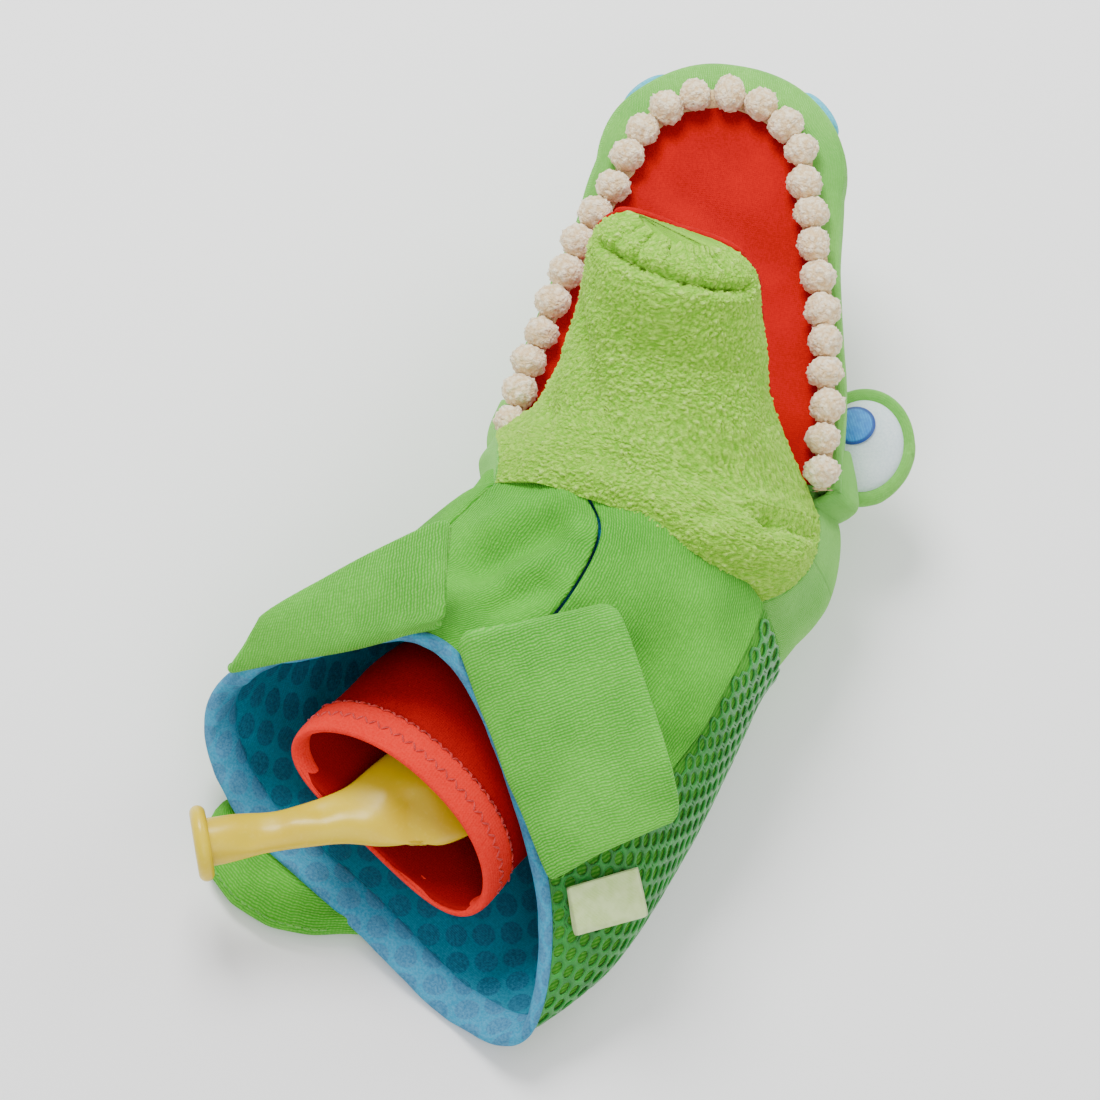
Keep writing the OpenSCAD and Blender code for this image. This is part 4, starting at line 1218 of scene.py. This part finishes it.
def bobble_mesh():
    ball = bmesh.new()
    bmesh.ops.create_icosphere(ball, subdivisions=4, radius=1.0)
    shape = np.array([p.co for p in ball.verts])
    faces = [[p.index for p in f.verts] for f in ball.faces]
    ball.free()
    points, heights, all_faces = [], [], []
    rng = np.random.default_rng(29)
    spots, outs = edge_at((np.arange(BOBBLES) + 0.5) / BOBBLES)
    for i in range(BOBBLES):
        onward, out = np.array([-outs[i][1], outs[i][0], 0]), np.array([*outs[i], 0])
        size = BOBBLE_D / 2 * rng.uniform(0.9, 1.04, 3) * [0.97, 1.02, 0.98]
        # The cut yarn ends stand out in tufts, and the trim's tape pinches each ball below
        tufts = np.array([noise.voronoi(Vector(p) * 3.9 + Vector((i * 7.3, 0, 0))
                                        + noise.noise_vector(Vector(p) * 5) * 0.5)[0][0]
                          for p in shape])
        lumps, fine = [np.array([noise.noise(Vector(p) * k + Vector((i * 3.1, 0, 0)))
                                 for p in shape]) for k in (1.6, 9)]
        height = np.clip(1.0 - 1.6 * tufts + 0.6 * fine, 0, 1)
        radius = 0.88 + 0.17 * height + 0.09 * lumps
        pinch = 1 - 0.25 * np.clip(-shape[:, 2] - 0.35, 0, 1)
        local = shape * radius[:, None] * size * np.stack([pinch, pinch, 1 + 0 * pinch], 1)
        tilt = rng.uniform(-0.6, 0.6, 2)
        centre = np.array([*spots[i], PALATE_Z + BOBBLE_D / 2 + 0.1]) + [*tilt, 0]
        all_faces += [[p + len(points) * len(shape) for p in f] for f in faces]
        points.append(HEAD(centre + local @ np.array([onward, out, [0, 0, 1]])))
        heights.append(height)
    made = bpy.data.meshes.new("tooth_trim")
    made.from_pydata(np.concatenate(points) * MM, [], all_faces)
    # The tuft heights also paint the bobbles' colour: painted shade between the tufts, painted
    # highlight on them
    note(made, "pile", np.concatenate(heights))
    return made


piece("tooth_trim", bobble_mesh(), COTTON, "head", "bobble")

# The tape that holds the bobbles, as (distance out of the mouth's edge, height)
TAPE_PROFILE = [(-3.2, 0.9), (-1.5, 1.6), (0.5, 1.9), (2.4, 1.7), (4.0, 1.1)]
s = np.linspace(0, 1, 240)
spots, outs = edge_at(s)
profile = line_at(TAPE_PROFILE, np.linspace(0, len(TAPE_PROFILE) - 1, 14))
tape = np.concatenate([spots[:, None] + outs[:, None] * profile[None, :, :1],
                       np.repeat(profile[None, :, 1:] + PALATE_Z, len(s), 0)], -1)
tape[..., 2] += 0.15 * np.sin(s * 280)[:, None]
cloth("trim_tape", HEAD(tape), TAPE_T, HEAD((0, 80, -20)), COTTON, "bobble", "laid", "head",
      rests_on=["snout_cover"])

# ---- Lower jaw ----

def jaw_rings():
    k = np.concatenate([np.linspace(0, 0.8, 86)[:-1], np.linspace(0.8, 0.99, 44), [1.0]])
    k, a = np.meshgrid(k, np.linspace(0, 180, 150), indexing="ij")
    return closed_across(jaw_points(k, a, 0, 22), 40)


jaw = jaw_rings()
jaw_hub = np.array([0, 40, 10])
# A gathered seam near the tip, with short darts that run from it to the edge
SEAM_K, TIP_K = 0.865, 0.99
SEAM_LINE = jaw_points(SEAM_K, np.array([20, 38, 58, 82, 106, 130, 152]))
DART_AT = np.array([44, 66, 90, 114, 138])
DARTS = zip(jaw_points(SEAM_K, DART_AT), jaw_points(TIP_K, DART_AT + 2))
JAW_FOLDS = ([(a, b, 1.7, -2.6) for a, b in zip(SEAM_LINE, SEAM_LINE[1:])]
             + [(a, b, 1.5, -2.2) for a, b in DARTS] + SIDE_FOLDS
             + [((0, 64, 22), (-16, 67, 20), 6, 1.0), ((34, 44, 6), (28, 20, 20), 6, 1.2)])
jaw = pushed(jaw, jaw_hub, folded(jaw, JAW_FOLDS) + ripple(jaw, 20, 1.0, 2.7), True)
padding("lower_jaw_cover", JAW(jaw), JAW(jaw_hub), TERRY, "lower_jaw", "terry", TERRY_PILE)


def jaw_palate_rings():
    """The red lining of the lower jaw: a thin pad that shows as a line past the terry"""
    y = np.linspace(6, JAW_LEN - 3, 60)
    half = jaw_points((y - 4) / (JAW_LEN - 4), np.zeros(len(y)))[:, 0] + 0.2
    round_end = np.radians(np.linspace(0, 180, 41))
    outline = np.concatenate([
        np.stack([half, y], 1),
        np.stack([half[-1] * np.cos(round_end), y[-1] + 4.5 * np.sin(round_end)], 1)[1:-1],
        np.stack([-half, y], 1)[::-1]])
    outline[:, 1] += jaw_reach(outline[:, 0], np.clip(outline[:, 1] / JAW_LEN, 0, 1))
    outline = closed_across(outline[None], 26)[0]
    middle = np.stack([0 * outline[:, 0], np.minimum(outline[:, 1], JAW_LEN - 16)], 1)
    rings = []
    for share, z in ((0.96, 1.9), (1.0, 1.2), (1.01, 0.4), (0.99, -0.5), (0.94, -1.1),
                     (0.8, -1.4), (0.6, -1.5), (0.4, -1.5), (0.2, -1.5), (0.01, -1.5)):
        rings.append(np.concatenate([middle + (outline - middle) * share,
                                     np.full((len(outline), 1), z)], 1))
    return np.array(rings)


mesh = solid_mesh("lower_palate", JAW(jaw_palate_rings()), JAW((0, 40, 0.2)))
made = piece("lower_palate", mesh, PALATE, "lower_jaw", "red_jersey")

# ---- Nostrils and eyes ----

def oval(radius_x, radius_y, height, count):
    """A ring of this many points"""
    a = angles(count)
    return np.stack([radius_x * np.cos(a), radius_y * np.sin(a), 0 * a + height], 1)


def dome(radius_x, radius_y, high, levels=20, around=96, low=0.0, power=1.0):
    """Rings of a dome from its edge up to its pole"""
    rings = [oval(radius_x * 0.9, radius_y * 0.9, low, around)]
    for t in np.radians(np.linspace(0, 88, levels)):
        c = cos(t) ** power
        rings.append(oval(radius_x * c, radius_y * c, high * sin(t), around))
    return np.array(rings)


def on_snout(where):
    """A frame on the snout's surface where the line out from its middle towards where comes out"""
    from_middle = unit(np.array(where, float) - snout_hub)
    reach = unit(snout - snout_hub) @ from_middle
    i, j = np.unravel_index(reach.argmax(), reach.shape)
    n = normals_of(snout, snout_hub, True)[i, j]
    x = unit(np.cross([0, 1.0, 0], n))
    return Place(HEAD.turned @ np.stack([x, np.cross(n, x), n], -1), HEAD(snout[i, j]))


for side, name in ((-1, "nostril_left"), (1, "nostril_right")):
    patch = on_snout((side * 20, TIP_Y + 12, PALATE_Z - 1 - SNOUT_DEPTH * 0.22))
    padding(name, patch(dome(7, 9, 2.6, low=-3.5)), patch((0, 0, -5)), NOSE, "head", "nostril")

# The eyes are narrower than they are long by this share
EYE_D, IRIS_D, NARROW = 37.0, 14.0, 0.84
EYES = {"right": Place(HEAD.turned, HEAD((59, 46, -28))),
        "left": Place(HEAD.turned @ turn("y", 8), HEAD((-34, 46, -40)))}
for side, eye in EYES.items():
    way = 1 if side == "right" else -1
    radius = (EYE_D - 5) / 2
    pad = dome(radius * NARROW, radius, 6.4, 26, 120, low=-1.0, power=0.8) + [0, 0, 0.6]
    padding("eye_pad_" + side, eye(pad), eye((0, 0, -4)), EYE_WHITE, "head", "eye_pad")
    # The velour back of the eye, with a soft rolled rim that frames the white
    rim = EYE_D / 2 + 1.6
    lid = [oval((rim - i) * NARROW, rim - i, z, 120)
           for i, z in ((6.5, 0.4), (4.6, 1.8), (3.0, 2.8), (1.3, 2.7), (0.2, 1.4), (0, -0.4))]
    lid += [oval(rim * NARROW * cos(t) ** 0.8, rim * cos(t) ** 0.8, -0.4 - 6.5 * sin(t), 120)
            for t in np.radians(np.linspace(6, 88, 20))]
    lid = np.array(lid)
    # The lid's two velour halves meet in a seam across its back, gathered a little at its ends
    seam = [((-rim, 2, -3), (0, 0, -7), 1.3, -1.3), ((0, 0, -7), (rim, 2, -3), 1.3, -1.3)]
    lid = pushed(lid, (0, 0, -1), folded(lid, seam)
                 + ripple(lid, 9, 0.7, 1.3) * (lid[..., 2] < -0.5), True)
    padding("eye_lid_" + side, on_floor(eye(lid)), eye((0, 0, 0.2)), HEAD_VELOUR, "head",
            "head_velour")
    spot = eye.inside(turn("x", -8) @ turn("y", -way * 12), (-way * 3.5, 5, 6.1))
    disc = dome(IRIS_D / 2, IRIS_D / 2, 0.8, 24, 96, low=-0.6)
    mesh = solid_mesh("iris_" + side, spot(disc), spot((0, 0, -3)))
    flat = disc.reshape(-1, 3)
    mesh.attributes.remove(mesh.attributes["cloth"])
    note(mesh, "cloth", flat)
    note(mesh, "outline", smooth((np.hypot(flat[:, 0], flat[:, 1]) / (IRIS_D / 2) - 0.8) / 0.1))
    piece("iris_" + side, mesh, IRIS, "head", "iris")

# ---- What stays as the CAD has it ----

for name in ("upper_mouth_board", "lower_mouth_board"):
    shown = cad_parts[name]
    shown.data.materials.clear()
    shown.data.materials.append(BOARD)

# ---- Studio ----

FLOOR_SIZE = 3.0


def floor():
    mesh = bmesh.new()
    bmesh.ops.create_grid(mesh, x_segments=8, y_segments=8, size=FLOOR_SIZE / 2)
    look = Look("floor", Roughness=0.9, Specular_ior_level=0.1)
    shade = look.mix(look.noise(3, 2), rgb("#fbfbfb"), rgb("#f4f4f4"))
    piece("floor", as_mesh(mesh, "floor"),
                   look.finish(shade, look.noise(400, 2), 0.02, 0.1))


def softbox(name, place, size, power, colour=(1, 1, 1)):
    light = bpy.data.lights.new(name, "AREA")
    light.shape, light.size, light.energy, light.color = "DISK", size, power, colour
    made = bpy.data.objects.new(name, light)
    made.location = place
    made.rotation_euler = (TARGET - Vector(place)).to_track_quat("-Z", "Y").to_euler()
    bpy.context.scene.collection.objects.link(made)


floor()
softbox("key", (-0.55, 0.25, 0.9), 0.5, 14)
softbox("fill", (0.5, -0.5, 0.8), 0.9, 4)
softbox("rim", (0.1, 0.9, 0.6), 0.5, 4)
world = bpy.data.worlds.new("studio")
world.use_nodes = True
world.node_tree.nodes["Background"].inputs["Color"].default_value = (1, 1, 1, 1)
world.node_tree.nodes["Background"].inputs["Strength"].default_value = 0.9
bpy.context.scene.world = world

# ---- Last update of the scene ----

bpy.context.view_layer.update()
